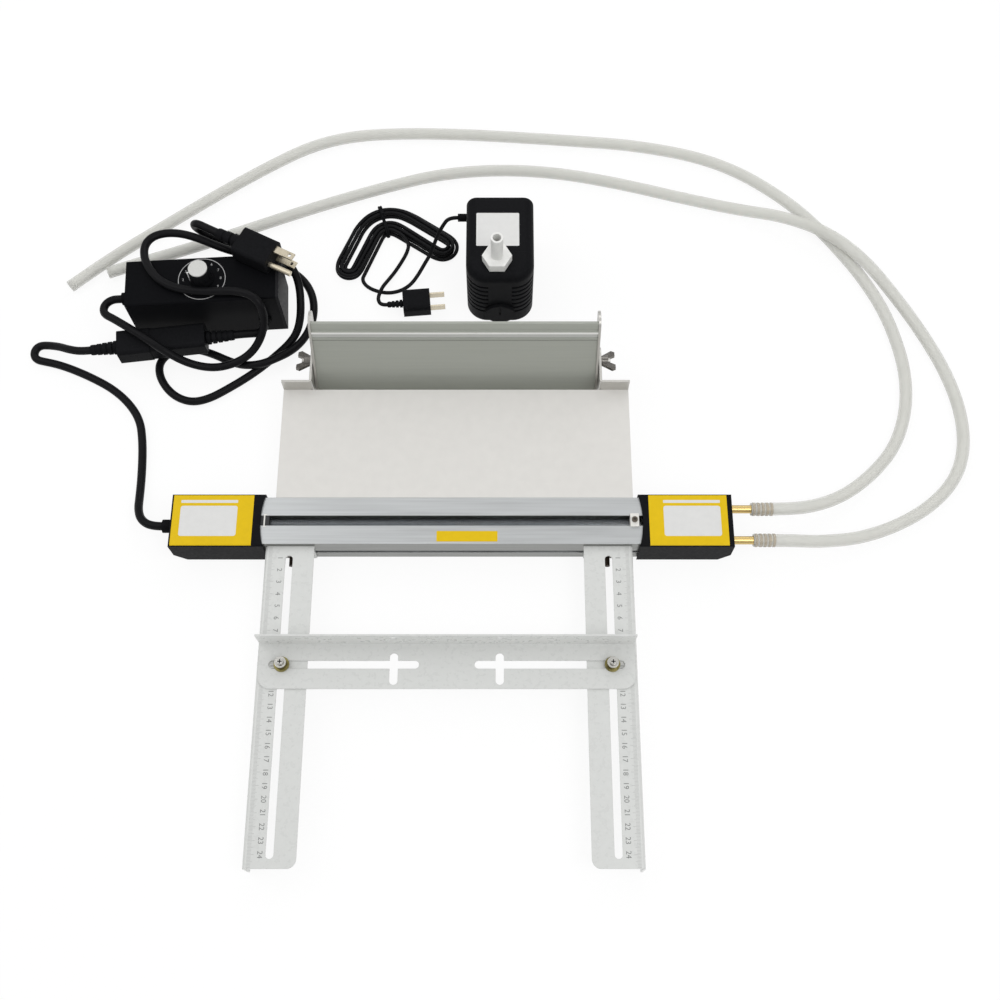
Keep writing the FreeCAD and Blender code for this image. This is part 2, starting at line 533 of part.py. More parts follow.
skin, back = "-plate_ahead", "-plate_ahead + plate_thick"
ribs = [(skin, "plate_above"), (skin, "plate_above - 7"), (f"{skin} - rib_height", "plate_above - 7.6")]
ribs += [(f"{skin} - rib_height", "plate_above - 9.4"), (skin, "plate_above - 10"),
         (skin, "plate_above - 14")]
ribs += [(f"{skin} - rib_height / 2", "plate_above - 14.5"), (f"{skin} - rib_height / 2", "plate_above - 16")]
ribs += [(skin, "plate_above - 16.5"), (skin, "-plate_below"), (back, "-plate_below"), (back, "plate_above")]
half_plate = "plate_width / 2"
leaned("tilt_plate", extruded("tilt_plate", "YZ", ribs, (f"-{half_plate}", half_plate)))
for name, side in (("left", -1), ("right", 1)):
    def across(low, high):
        return (low, high) if side == 1 else (f"-({high})", f"-({low})")

    side_face = f"{half_plate} + side_thick"
    side_front = f"{skin} - 1.5"
    side_rear = f"{side_front} + side_depth"
    side_top = "plate_above + side_above"
    corners = [(side_front, "-plate_below"), (side_rear, "-plate_below"), (side_rear, side_top),
               (side_front, side_top)]
    body = extruded(f"tilt_side_{name}_steel", "YZ", corners, across(half_plate, side_face))
    softened(body, "side_round", lambda e: along(e, EX) and not near(e, y=side_front, z="-plate_below"))
    hole = rod("X", ("0", "0"), "pivot_dia / 2 + fit_gap", across(f"{half_plate} - 1", f"{side_face} + 1"))
    leaned(f"tilt_side_{name}", cut(body, hole))
    leg_face = f"(board_length / 2 - bracket_flange + bracket_thick)"
    hub_end = f"{leg_face} + slide_gap + wing_hub_length"
    bolt = fuse(rod("X", ("0", "0"), "pivot_head_dia / 2",
                    across(f"{half_plate} - pivot_head_thick", half_plate)),
                rod("X", ("0", "0"), "pivot_dia / 2", across(half_plate, f"{hub_end} + 2")))
    leaned(f"pivot_bolt_{name}", bolt)
    hub = rod("X", ("0", "0"), "wing_hub_dia / 2", across(f"{leg_face} + slide_gap", hub_end))
    wing_corners = [("-wing_span / 2", f"{hub_end} + wing_height / 3"),
                    ("-wing_span / 2 + 1.5", f"{hub_end} + wing_height - 3")]
    wing_corners += [("-wing_span / 4", f"{hub_end} + wing_height - 3"),
                     ("-wing_hub_dia / 4", f"{hub_end} - 0.4")]
    wing_corners += [("wing_hub_dia / 4", f"{hub_end} - 0.4"),
                     ("wing_span / 4", f"{hub_end} + wing_height - 3")]
    wing_corners += [("wing_span / 2 - 1.5", f"{hub_end} + wing_height - 3"),
                     ("wing_span / 2", f"{hub_end} + wing_height / 3")]
    wing_corners += [("wing_hub_dia / 2 + 1", f"{leg_face} + slide_gap + 1"),
                     ("-wing_hub_dia / 2 - 1", f"{leg_face} + slide_gap + 1")]
    wings = extruded(f"wing_{name}_wings", "XY", [(f"{side} * ({x})", y) for y, x in wing_corners],
                     ("-wing_thick / 2", "wing_thick / 2"))
    clear = rod("X", ("0", "0"), "pivot_dia / 2 + fit_gap / 2",
                across(f"{leg_face} - 1", f"{hub_end} + wing_height"))
    leaned(f"wing_nut_{name}", cut(fuse(hub, wings), clear))


# Controller: a sleeve with two end plates, turned a little on the table.
def turned_box(name, item):
    return placed(name, item, ("box_x", "box_y", "0"), "box_turn")


def placed(name, item, spot, turn):
    """Seat a piece drawn about its own origin, turned about the upright axis."""
    angle = value(turn)
    axis = EZ if angle >= 0 else -EZ
    item.Placement = Placement(Vector(), Rotation(axis, abs(angle)))
    at(item, *spot)
    tie(item, Placement__Rotation__Angle=f"{'' if angle >= 0 else '-'}{turn} * 1 deg")
    return node(name, item)


half_box, half_deep = "box_length / 2", "box_depth / 2"
sleeve_half = f"({half_box} - end_thick)"
sleeve_corners = [(f"-{half_deep}", "0"), (half_deep, "0"), (half_deep, "box_height"),
                  (f"-{half_deep}", "box_height")]
sleeve = extruded("controller_sleeve", "YZ", sleeve_corners, (f"-{sleeve_half}", sleeve_half))
softened(sleeve, "box_round", lambda e: along(e, EX))
inside_y = (f"-{half_deep} + box_wall", f"{half_deep} - box_wall")
inside_z = ("box_wall", "box_height - box_wall")
bush_hole = rod("Z", ("0", "0"), "bush_dia / 2 + fit_gap", ("box_height - box_wall - 1", "box_height + 1"))
outlet_spot = ("outlet_along", "outlet_level")
outlet_hole = rod("Y", outlet_spot, "cord_dia / 2 + 0.6",
                  (f"-{half_deep} - 1", f"-{half_deep} + box_wall + 1"))
turned_box("controller_case",
           cut(sleeve, box((f"-{half_box}", half_box), inside_y, inside_z), bush_hole, outlet_hole))
for name, side in (("controller_end_left", -1), ("controller_end_right", 1)):
    ends = (sleeve_half, half_box) if side == 1 else (f"-{half_box}", f"-{sleeve_half}")
    plate = extruded(name + "_plate", "YZ", sleeve_corners, ends)
    softened(plate, "box_round", lambda e: along(e, EX))
    if side == 1:
        turned_box(name, plate)
    else:
        hole = rod("X", ("0", "gland_level"), "cord_dia / 2 + 0.6", (f"{ends[0]} - 1", f"{ends[1]} + 1"))
        turned_box(name, cut(plate, hole))
turned_box("mains_gland",
           fuse(rod("X", ("0", "gland_level"), "gland_dia / 2",
                    (f"-{half_box} - gland_length", f"-{half_box}")),
                               rod("X", ("0", "gland_level"), "cord_dia / 2 + 0.5",
                                   (f"-{half_box}", f"-{sleeve_half}"))))
turned_box("output_gland",
           fuse(rod("Y", outlet_spot, "gland_dia / 2", (f"-{half_deep} - outlet_collar", f"-{half_deep}")),
                                rod("Y", outlet_spot, "cord_dia / 2 + 0.5",
                                    (f"-{half_deep}", f"-{half_deep} + box_wall"))))

# Dial: potentiometer under the top wall, with its shaft in a fluted knob.
knob_low = "(box_height + knob_foot)"
knob_top = f"({knob_low} + knob_height)"
pot_top = "box_height - box_wall"
shaft_top = f"{knob_low} + knob_height - 4"
turned_box("potentiometer", fuse(rod("Z", ("0", "0"), "pot_dia / 2", (f"{pot_top} - pot_thick", pot_top)),
                                 rod("Z", ("0", "0"), "bush_dia / 2", (pot_top, "box_height + 4")),
                                 rod("Z", ("0", "0"), "shaft_dia / 2", (pot_top, shaft_top))))
shoulder = f"{knob_low} + 3"
knob_corners = [("bush_dia / 2 + 0.5", knob_low), ("knob_skirt / 2", knob_low),
                ("knob_skirt / 2", f"{knob_low} + 1.6")]
knob_corners += [("knob_dia / 2", shoulder), ("knob_dia / 2 - 0.8", knob_top), ("0", knob_top),
                 ("0", f"{shaft_top} + 0.5")]
knob_corners += [("shaft_dia / 2 + fit_gap / 2", f"{shaft_top} + 0.5"),
                 ("shaft_dia / 2 + fit_gap / 2", "box_height + 5")]
knob_corners += [("bush_dia / 2 + 0.5", "box_height + 5")]
knob = turned("dial_knob_turning", knob_corners)
flutes = []
for i in range(round(value("knob_flutes"))):
    way = f"{i} * 360 deg / knob_flutes"
    spot = (f"(knob_dia / 2 + 0.6) * cos({way})", f"(knob_dia / 2 + 0.6) * sin({way})")
    flutes.append(rod("Z", spot, "1.3", (f"{shoulder} + 1", f"{knob_top} + 1")))
turned_box("dial_knob", cut(knob, *flutes))
turned_box("knob_cap",
           group(rod("Z", ("0", "0"), "cap_disc_dia / 2", (knob_top, f"{knob_top} + cap_disc_thick"))))


# Lead fittings, each drawn along X from its own origin.
def relief(length, dia, neck, ribs, start, side):
    """Ribbed strain relief that runs back from a moulded body."""
    pieces = [rod("X", ("0", "0"), neck,
                  (start, f"{start} + {length}") if side == 1 else (f"{start} - {length}", start))]
    for i in range(ribs):
        middle = f"({start} + {side} * {length} * {(i + 0.5) / ribs})"
        size = f"{dia} / 2 * {1 - 0.3 * i / ribs}"
        pieces.append(rod("X", ("0", "0"), size,
                          (f"{middle} - {length} / {3 * ribs}", f"{middle} + {length} / {3 * ribs}")))
    return pieces


def moulded(name, start, end, width, height, radius):
    """Moulded block with all its long edges and ends rounded."""
    corners = [(f"-{width} / 2", f"-{height} / 2"), (f"{width} / 2", f"-{height} / 2")]
    corners += [(f"{width} / 2", f"{height} / 2"), (f"-{width} / 2", f"{height} / 2")]
    body = extruded(name, "YZ", corners, (start, end))
    return softened(body, radius, lambda e: along(e, EX))


rib_total = round(value("relief_ribs"))
coupler_spot = ("coupler_x", "coupler_y", "coupler_level")
coupler_end = "(inlet_length + outlet_length)"
inlet = moulded("coupler_plug_body", "0", "inlet_length", "coupler_width", "coupler_height", "coupler_round")
placed("coupler_plug",
       fuse(inlet, *relief("relief_length", "relief_dia", "cord_dia / 2 + 0.8", rib_total, "0", -1)),
       coupler_spot, "coupler_turn")
outlet = moulded("coupler_socket_body", "inlet_length", coupler_end, "(coupler_width - 1)",
                 "(coupler_height - 1)",
                 "coupler_round")
placed("coupler_socket",
       fuse(outlet, *relief("relief_length", "relief_dia", "cord_dia / 2 + 0.8", rib_total, coupler_end, 1)),
       coupler_spot, "coupler_turn")
plug_spot = ("plug_x", "plug_y", "plug_level")
plug_body = moulded("mains_plug_body", "0", "plug_length", "plug_width", "plug_height", "coupler_round")
pin_root = "(plug_length - 6)"
pin_tip = "(plug_length + pin_length)"
blade_y = ("blade_shift - pin_width / 2", "blade_shift + pin_width / 2")
blades, pin_holes = [], []
for side in (1, -1):
    low, high = f"{side} * pin_pitch / 2 - pin_thick / 2", f"{side} * pin_pitch / 2 + pin_thick / 2"
    blades.append(box((pin_root, pin_tip), blade_y, (low, high)))
    pin_holes.append(box((f"{pin_root} - 0.2", f"{pin_tip} + 1"),
                         (f"{blade_y[0]} - 0.1", f"{blade_y[1]} + 0.1"),
                         (f"{low} - 0.1", f"{high} + 0.1")))
blade_eye = rod("Z", (f"{pin_tip} - pin_hole_back", "blade_shift"), "pin_hole_dia / 2",
                ("-pin_pitch", "pin_pitch"))
earth = rod("X", ("-earth_shift", "0"), "earth_dia / 2", (pin_root, f"{pin_tip} + 3"))
pin_holes.append(rod("X", ("-earth_shift", "0"), "earth_dia / 2 + 0.1",
                     (f"{pin_root} - 0.2", f"{pin_tip} + 4")))
plug_tail = relief("plug_relief", "relief_dia", "cord_dia / 2 + 0.8", 3, "0", -1)
placed("mains_plug", cut(fuse(plug_body, *plug_tail), *pin_holes), plug_spot, "plug_turn")
placed("mains_plug_pins", group(*(cut(blade, blade_eye) for blade in blades), earth), plug_spot,
       "plug_turn")
small_spot = ("small_plug_x", "small_plug_y", "small_plug_level")
small_body = moulded("pump_plug_body", "0", "small_plug_length", "small_plug_width", "small_plug_height",
                     "coupler_round")
small_root, small_tip = "(small_plug_length - 5)", "(small_plug_length + pin_length - 5)"
small_blades, small_holes = [], []
for side in (1, -1):
    middle = f"{side} * pin_pitch / 2"
    small_blades.append(box((small_root, small_tip),
                            (f"{middle} - pin_thick / 2", f"{middle} + pin_thick / 2"),
                            ("-pin_width / 2", "pin_width / 2")))
    small_holes.append(box((f"{small_root} - 0.2", f"{small_tip} + 1"), (f"{middle} - pin_thick / 2 - 0.1",
                           f"{middle} + pin_thick / 2 + 0.1"), ("-pin_width / 2 - 0.1",
                                                                "pin_width / 2 + 0.1")))
small_tail = relief("small_relief_length", "small_relief_dia", "thin_cord_dia / 2 + 0.6", 4, "0", -1)
placed("pump_plug", cut(fuse(small_body, *small_tail), *small_holes), small_spot, "small_plug_turn")
placed("pump_plug_blades", group(*small_blades), small_spot, "small_plug_turn")

# Pump: rounded housing with a louvred intake cover, a flow dial and a screwed nozzle.
half_pump = "pump_width / 2"
pump_left, pump_right = f"(pump_x - {half_pump})", f"(pump_x + {half_pump})"
pump_rear = "(pump_front + pump_length)"
cover_rear = "(pump_front + cover_depth)"
cross_corners = [(pump_left, "0"), (pump_right, "0"), (pump_right, "pump_height"), (pump_left, "pump_height")]
housing = extruded("pump_housing", "XZ", cross_corners, (cover_rear, pump_rear))
softened(housing, "pump_round", lambda e: along(e, EY) and near(e, z="pump_height"))
softened(housing, "pump_round * 0.6", lambda e: near(e, y=pump_rear) and not near(e, z="0"))
nozzle_spot = ("(pump_x - nozzle_shift)", "nozzle_y")
seat = rod("Z", nozzle_spot, "nozzle_dia / 2 + fit_gap", ("pump_height - 10", "pump_height + 1"))
gland_spot = ("pump_gland_y", "pump_gland_level")
socket = rod("X", gland_spot, "thin_cord_dia / 2 + 1.1", (f"{pump_left} - 1", f"{pump_left} + 6"))
node("pump_body", cut(housing, socket))
cover = extruded("pump_intake", "XZ", cross_corners, ("pump_front", cover_rear))
softened(cover, "front_round", lambda e: along(e, EZ) and near(e, y="pump_front"))
softened(cover, "pump_round", lambda e: near(e, z="pump_height") and not near(e, y=cover_rear))
core_left, core_right = f"({pump_left} + louvre_deep)", f"({pump_right} - louvre_deep)"
core_front, core_rear = "(pump_front + louvre_deep)", f"({cover_rear} + 1)"
core = extruded("louvre_core", "XY", [(core_left, core_front), (core_right, core_front),
                                      (core_right, core_rear), (core_left, core_rear)], ("0", "pump_height"))
softened(core, "(front_round - louvre_deep)", lambda e: along(e, EZ) and near(e, y=core_front))
louvres = []
for i in range(round(value("louvre_count"))):
    low = f"louvre_first + {i} * louvre_pitch"
    for span in ((f"{pump_left} - 1", f"{pump_left} + louvre_width"),
                 (f"{pump_right} - louvre_width", f"{pump_right} + 1")):
        louvres.append(box(span, ("pump_front - 1", f"{cover_rear} - louvre_deep"),
                           (low, f"{low} + louvre_height")))
spindle_hole = rod("Y", ("pump_x", "dial_level"), "2.1", ("pump_front - 1", "pump_front + 5.2"))
node("pump_cover", cut(cover, cut(fuse(*louvres), core), spindle_hole, seat))
dial_face = ("pump_front - 0.3 - dial_thick", "pump_front - 0.3")
dial_slot = box(("pump_x - 0.7", "pump_x + 0.7"),
                ("pump_front - 0.3 - dial_thick - 1", "pump_front - 0.3 - dial_thick + 0.8"),
                ("dial_level", "dial_level + dial_dia / 2 + 1"))
spindle = rod("Y", ("pump_x", "dial_level"), "2", (dial_face[1], "pump_front + 5"))
node("flow_dial",
     cut(fuse(rod("Y", ("pump_x", "dial_level"), "dial_dia / 2", dial_face), spindle), dial_slot))
nozzle = fuse(rod("Z", nozzle_spot, "nozzle_dia / 2", ("pump_height - 8", "pump_height + nozzle_height")),
              prism("nozzle_hex", nozzle_spot, "hex_flats", ("pump_height", "pump_height + hex_thick")))
node("pump_nozzle",
     cut(nozzle,
         rod("Z", nozzle_spot, "nozzle_bore / 2", ("pump_height - 9", "pump_height + nozzle_height + 1"))))
node("pump_gland",
     fuse(rod("X", gland_spot, "pump_gland_dia / 2", (f"{pump_left} - pump_gland_length", pump_left)),
                        rod("X", gland_spot, "thin_cord_dia / 2 + 1", (pump_left, f"{pump_left} + 5"))))


# Soft and wound pieces, swept as round tubes.
def sweep_tube(edges, radius, start, way):
    """Solid tube along joined lines and arcs, with its volume compared with its section times its length."""
    path = Part.Wire(edges)
    shell = Part.BRepOffsetAPI.MakePipeShell(path)
    shell.add(Part.Wire([Part.Circle(start, way, radius).toShape()]))
    shell.build()
    shell.makeSolid()
    tube = shell.shape()
    expected = math.pi * radius ** 2 * path.Length
    if abs(abs(tube.Volume) - expected) > 0.02 * expected:
        raise RuntimeError(f"tube volume {tube.Volume:.0f}, expected {expected:.0f}")
    return tube, path


def cord(name, points, dia):
    """Cord on straight runs joined by arcs as large as the runs allow."""
    spots = [Vector(*p) for p in points]
    edges, radii, last = [], [], spots[0]
    for a, b, c in zip(spots, spots[1:], spots[2:]):
        to_a, to_c = (a - b).normalize(), (c - b).normalize()
        half_turn = (math.pi - to_a.getAngle(to_c)) / 2
        reach = 0.45 * min(a.distanceToPoint(b), c.distanceToPoint(b))
        radius = reach / math.tan(half_turn)
        radii.append(radius)
        enter, leave = b + to_a * reach, b + to_c * reach
        crown = b + (to_a + to_c).normalize() * (radius / math.cos(half_turn) - radius)
        edges += [Part.LineSegment(last, enter).toShape(), Part.Arc(enter, crown, leave).toShape()]
        last = leave
    edges.append(Part.LineSegment(last, spots[-1]).toShape())
    tube, path = sweep_tube(edges, dia / 2, spots[0], spots[1] - spots[0])
    print(f"{name}: length {path.Length:.0f} mm, radii {min(radii):.0f} to {max(radii):.0f} mm")
    return tube, path


def soft_node(name, shape):
    item = DOC.addObject("Part::Feature", name)
    item.Shape = shape
    return node(name, item)


def biarc(p0, t0, p1, t1):
    """Two arcs that join two points and leave and reach them along two directions."""
    gap, both, blend = p1 - p0, t0 + t1, 1 - t0.dot(t1)
    if blend < 1e-9:
        reach = gap.dot(gap) / (2 * gap.dot(both))
    else:
        reach = (math.sqrt(gap.dot(both) ** 2 + 2 * blend * gap.dot(gap)) - gap.dot(both)) / (2 * blend)
    a, b = p0 + t0 * reach, p1 - t1 * reach
    middle = (a + b) * 0.5
    arcs = []
    for start, knee, end in ((p0, a, middle), (middle, b, p1)):
        weight = start.distanceToPoint(end) / (2 * reach)
        crown = (start + knee * (2 * weight) + end) * (1 / (2 + 2 * weight))
        straight = (end - start).cross(crown - start).Length < 1e-7
        curve = Part.LineSegment(start, end) if straight else Part.Arc(start, crown, end)
        arcs.append(curve.toShape())
    return arcs


def wound(name, spots, ways, radius, apart):
    """Unbroken wound tube, with the least gap that it leaves to itself."""
    edges = []
    for i in range(len(spots) - 1):
        edges += biarc(spots[i], ways[i], spots[i + 1], ways[i + 1])
    tube, path = sweep_tube(edges, radius, spots[0], ways[0])
    marks, run = [], 0.0
    for edge in edges:
        count = max(2, int(edge.Length / radius))
        for k in range(count):
            far = edge.Length * k / count
            marks.append((run + far, edge.valueAt(edge.getParameterByLength(far))))
        run += edge.Length
    pairs = ((p, q) for i, (a, p) in enumerate(marks) for b, q in marks[i + 1:] if b - a > apart)
    least = min(p.distanceToPoint(q) for p, q in pairs)
    print(f"{name}: length {path.Length:.0f} mm, least gap to itself {least - 2 * radius:.2f} mm")
    return tube


# Heating wire: three curled stretches joined by nearly straight ones, all in one winding.
quarter = math.pi / 2
curl, level = value("curl_radius"), value("tube_level")
pitch, wire = value("curl_pitch"), value("wire_dia")
lead_in = [4.0, 1.2]
steps, reached = [], value("-tube_length / 2 + 1")
wire_start = reached
for begin in ("curl_first", "curl_second", "curl_third"):
    steps += [value(begin) - reached - sum(lead_in), *lead_in]
    steps += [pitch / 4] * (4 * round(value("curl_turns"))) + lead_in[::-1]
    reached = wire_start + sum(steps)
steps.append(value("tube_length / 2 - 1") - reached)
spots, ways, x = [], [], wire_start
for i in range(len(steps) + 1):
    before, after = steps[max(i - 1, 0)], steps[min(i, len(steps) - 1)]
    slope = math.sqrt(before * after) / quarter if max(before, after) < 8 else max(before, after)
    turn = i * quarter
    spots.append(Vector(x, curl * math.cos(turn), level + curl * math.sin(turn)))
    ways.append(Vector(slope, -curl * math.sin(turn), curl * math.cos(turn)).normalize())
    x += after
soft_node("heating_coil", wound("heating_coil", spots, ways, wire / 2, 3 * curl))

# Hank of the pump cord: loops that spiral in on the table and out again one layer up, bent at the middle.
thin = value("thin_cord_dia")
bend, sweep_angle = value("hank_bend"), math.radians(value("hank_turn"))
first_arm, last_arm = value("hank_left"), value("hank_right")
heading = math.radians(value("hank_heading"))
tip = Vector(value("hank_tip_x"), value("hank_tip_y"), 0)
spine_length = first_arm + bend * sweep_angle + last_arm
layer_loops = value("hank_loops")


def facing(angle):
    return Vector(math.cos(angle), math.sin(angle), 0)


def spine(s):
    """Point and heading on the hank's middle line."""
    elbow = tip + facing(heading) * first_arm
    hub = elbow + facing(heading - quarter) * bend
    if s <= first_arm:
        return tip + facing(heading) * s, heading
    turn = (s - first_arm) / bend
    if turn <= sweep_angle:
        return hub + facing(heading + quarter - turn) * bend, heading - turn
    away = heading - sweep_angle
    return hub + facing(away + quarter) * bend + facing(away) * (s - first_arm - bend * sweep_angle), away


def hank_spot(t):
    """Point of the hank after t loops."""
    part, rising = t % 1, min(max((t - layer_loops) / 0.5 + 0.5, 0), 1)
    width = value_inner + value_pitch * abs(t - layer_loops)
    lift = Vector(0, 0, thin / 2 + 0.05 + value_lift * rising * rising * (3 - 2 * rising))
    if part < 0.4:
        spot, way = spine(spine_length * part / 0.4)
        return spot - facing(way + quarter) * width + lift
    if part < 0.5:
        spot, way = spine(spine_length)
        turn = (part - 0.4) / 0.1 * math.pi
        return spot + (facing(way) * math.sin(turn) - facing(way + quarter) * math.cos(turn)) * width + lift
    if part < 0.9:
        spot, way = spine(spine_length * (1 - (part - 0.5) / 0.4))
        return spot + facing(way + quarter) * width + lift
    spot, way = spine(0)
    turn = (part - 0.9) / 0.1 * math.pi
    return spot + (facing(way + quarter) * math.cos(turn) - facing(way) * math.sin(turn)) * width + lift


value_inner, value_pitch, value_lift = value("hank_inner"), value("hank_pitch"), value("hank_lift")
stations = [0, 0.0667, 0.1333, 0.2, 0.2667, 0.3333, 0.4, 0.45, 0.5, 0.5667, 0.6333, 0.7, 0.7667, 0.8333,
            0.9, 0.95]
turns = [k + f for k in range(round(2 * layer_loops)) for f in stations]
hank_end = 2 * layer_loops - 1 + 0.2667
turns = [t for t in turns if t <= hank_end + 1e-6]
spots = [hank_spot(t) for t in turns]
ways = []
for t in turns:
    step = 0.002
    ways.append((hank_spot(t + step) - hank_spot(max(t - step, 0))).normalize())
soft_node("pump_hank", wound("pump_hank", spots, ways, thin / 2, 25))
hank_in, hank_in_way, hank_out, hank_out_way = spots[0], ways[0], spots[-1], ways[-1]


# Cords and hoses, laid as they lie on the table.
def on_box(x, y, z):
    middle = Vector(value("box_x"), value("box_y"), 0)
    return tuple(middle + Rotation(EZ, value("box_turn")).multVec(Vector(x, y, z)))


def on_fitting(prefix, along_x):
    turn = Rotation(EZ, value(f"{prefix}_turn"))
    spot = Vector(*(value(f"{prefix}_{k}") for k in ("x", "y", "level")))
    return tuple(spot + turn.multVec(Vector(along_x, 0, 0)))


thick = value("cord_dia")
gland_face = on_box(-value("box_length / 2 + gland_length"), 0, value("gland_level"))
plug_back = on_fitting("plug", -value("plug_relief"))
plug_lead = on_fitting("plug", -value("plug_relief") - 7)
gland_lead = on_box(-value("box_length / 2 + gland_length") - 7, 0, value("gland_level"))
mains = [gland_face, gland_lead, (-305, 200.5, 31.2), (-303, 192, 33), (-295, 184.5, 35), (-281, 176, 36.4)]
mains += [(-264, 165, 36.6), (-247, 154, 33), (-230, 149, 20), (-211, 148.5, 11.5), (-193, 151.5, 12.4)]
mains += [(-177, 158.5, 17.5), (-166.5, 168, 28), (-161, 178.5, 43), (-163, 186, 58), (-172, 193, 61.5)]
mains += [(-186, 196.8, 59.5), (-202, 196.6, 59), (-220, 197, 59), (-238, 200.5, 59), (-251, 208, 59),
          (-260, 219, 59.3)]
mains += [(-265.5, 231, 58.8), (-266.5, 243, 58), (-261, 252, 57.5), (-250, 256.2, 57), (-236, 255.6, 57)]
mains += [(-221, 251.5, 55.5), (-206, 246.5, 51.5), (-192, 244.2, 46), (-177, 243.4, 42), (-162, 244, 39)]
mains += [(-148, 241.4, 36), (-140.5, 232.5, 33), (-136.5, 221, 28), (-135.5, 208, 21), (-136.5, 196, 13)]
mains += [(-140, 186, 6.5), (-146.5, 177, 3.7), (-156, 166.5, 3.6), (-168, 154.5, 3.7), (-182, 143, 3.6)]
mains += [(-197, 132.5, 3.7), (-211.5, 123.5, 3.6), (-226, 119.5, 3.7), (-240, 124, 3.6), (-251, 134, 3.7)]
mains += [(-258, 147, 3.6), (-258.5, 159, 3.7), (-250.5, 168.5, 3.6), (-238, 172, 3.7), (-225, 171, 3.6)]
mains += [(-212, 166.5, 3.7), (-199.5, 160.5, 3.6), (-188, 155.5, 5), (-177.5, 152.5, 9.5), (-166, 153, 12)]
mains += [(-155, 158.5, 11.6), (-145, 166, 8.5), (-137, 176, 5), (-130.5, 188, 3.7), (-127, 201, 3.6),
          (-126.5, 214, 3.7)]
mains += [(-129, 227, 3.6), (-135, 238.5, 4.4), (-145, 247.5, 6.5), (-157, 252, 11), (-169, 254, 17.5)]
mains += [(-181, 255.5, 24.5), (-192, 257.5, 31.5), (-203, 260, 38), (-213.5, 262.5, 44), (-222.5, 264.3, 50)]
mains += [(-228.5, 264, 56.5), (-226, 260.6, 62.5), (-217.5, 257.8, 64.3), plug_lead, plug_back]
soft_node("mains_cord", cord("mains_cord", mains, thick)[0])

outlet_face = on_box(value("outlet_along"), -value("box_depth / 2 + outlet_collar"), value("outlet_level"))
outlet_lead = on_box(value("outlet_along"), -value("box_depth / 2 + outlet_collar") - 6.6,
                     value("outlet_level"))
coupler_back = on_fitting("coupler", value("inlet_length + outlet_length + relief_length"))
coupler_lead = on_fitting("coupler", value("inlet_length + outlet_length + relief_length") + 7)
output = [coupler_back, coupler_lead, (-177.3, 178, 20), (-170.3, 178.2, 20.1), outlet_lead, outlet_face]
soft_node("output_cord", cord("output_cord", output, thick)[0])

cap_face = (-value(f"{cap_end} + gland_length"), 0, value("lead_level"))
inlet_back = on_fitting("coupler", -value("relief_length"))
inlet_lead = on_fitting("coupler", -value("relief_length") - 9)
heater = [cap_face, (cap_face[0] - 10, 0, cap_face[2]), (cap_face[0] - 19.5, 6.5, 15.5),
          (cap_face[0] - 24, 17, 11.5), (cap_face[0] - 25.5, 30, 6.6), (-262.6, 46, 3.7)]
heater += [(-263.6, 64, 3.6), (-265.5, 83, 3.7), (-269.5, 102, 3.6), (-280.5, 118.5, 3.7), (-297, 133, 3.6)]
heater += [(-318, 144.5, 3.7), (-336, 152.5, 3.6), (-348, 156.6, 3.7), (-357.2, 158.7, 3.8),
           (-366, 160.6, 4), (-369.1, 165.2, 4.6)]
heater += [(-368, 170.7, 5.4), (-363.4, 173.8, 6.4), (-354.5, 172.3, 9), (-344, 168.8, 13),
           (-334.5, 163.8, 17.5), inlet_lead]
heater += [inlet_back]
soft_node("heater_cord", cord("heater_cord", heater, thick)[0])

pump_face = (value(f"{pump_left} - pump_gland_length"), value("pump_gland_y"), value("pump_gland_level"))
pump_lead_in = tuple(hank_in - hank_in_way * 7)
pump = [pump_face, (pump_face[0] - 8, pump_face[1], pump_face[2]), (-11.5, 276.5, 38.5), (-17, 271.5, 29)]
pump += [(-20.5, 267.5, 19.5), (-24, 263, 12), (-29, 255, 9.4), (-34.5, 246, 6), (-41, 238, 2.6),
         (-49.9, 231.9, 1.8)]
pump += [(-61.5, 229.3, 1.8), (-73.3, 232, 1.8), (-81.5, 237, 1.8), pump_lead_in, tuple(hank_in)]
soft_node("pump_cord", cord("pump_cord", pump, thin)[0])
small_back = on_fitting("small_plug", -value("small_relief_length"))
small_lead = on_fitting("small_plug", -value("small_relief_length") - 5.4)
lead = [tuple(hank_out), tuple(hank_out + hank_out_way * 6), (-43.6, 279.5, 4.6), (-45.5, 271, 3.2),
        (-50.5, 261.5, 1.9)]
lead += [(-56, 251.5, 1.8), (-61.5, 242.5, 3), (-66, 234, 5.8), (-68.8, 226.5, 6), (-69.8, 219.6, 6.6),
         small_lead, small_back]
soft_node("pump_lead", cord("pump_lead", lead, thin)[0])

hose_radius = value("hose_dia / 2")
hose_start = value(f"{cap_end} + pipe_bare")
offset, bore_z = value("bore_offset"), value("bore_level")
rear = [(hose_start, offset, bore_z), (hose_start + 26, offset, bore_z), (hose_start + 54, 18.5, 15),
        (hose_start + 82, 31, 8), (hose_start + 108, 51, 5.4)]
rear += [(374, 76, 5.3), (387, 108, 5.4), (391.5, 140, 5.3), (389, 172, 5.4), (380, 210, 5.3),
         (363.5, 245.5, 5.4)]
rear += [(348, 270, 5.3), (333, 291.5, 5.4), (313, 316, 5.3), (285, 341, 5.4), (254, 362, 5.3),
         (215.5, 377.5, 5.4)]
rear += [(162, 388.5, 5.3), (110, 393, 5.4), (54, 397.5, 5.3), (-2, 401, 5.4), (-54.5, 402, 5.3),
         (-102, 398.5, 5.4)]
rear += [(-140, 386.5, 5.3), (-175, 365, 5.4), (-211, 340.5, 5.3), (-245.5, 315, 5.4), (-280, 289, 5.3),
         (-313, 262, 5.4)]
rear += [(-342, 236, 5.3)]
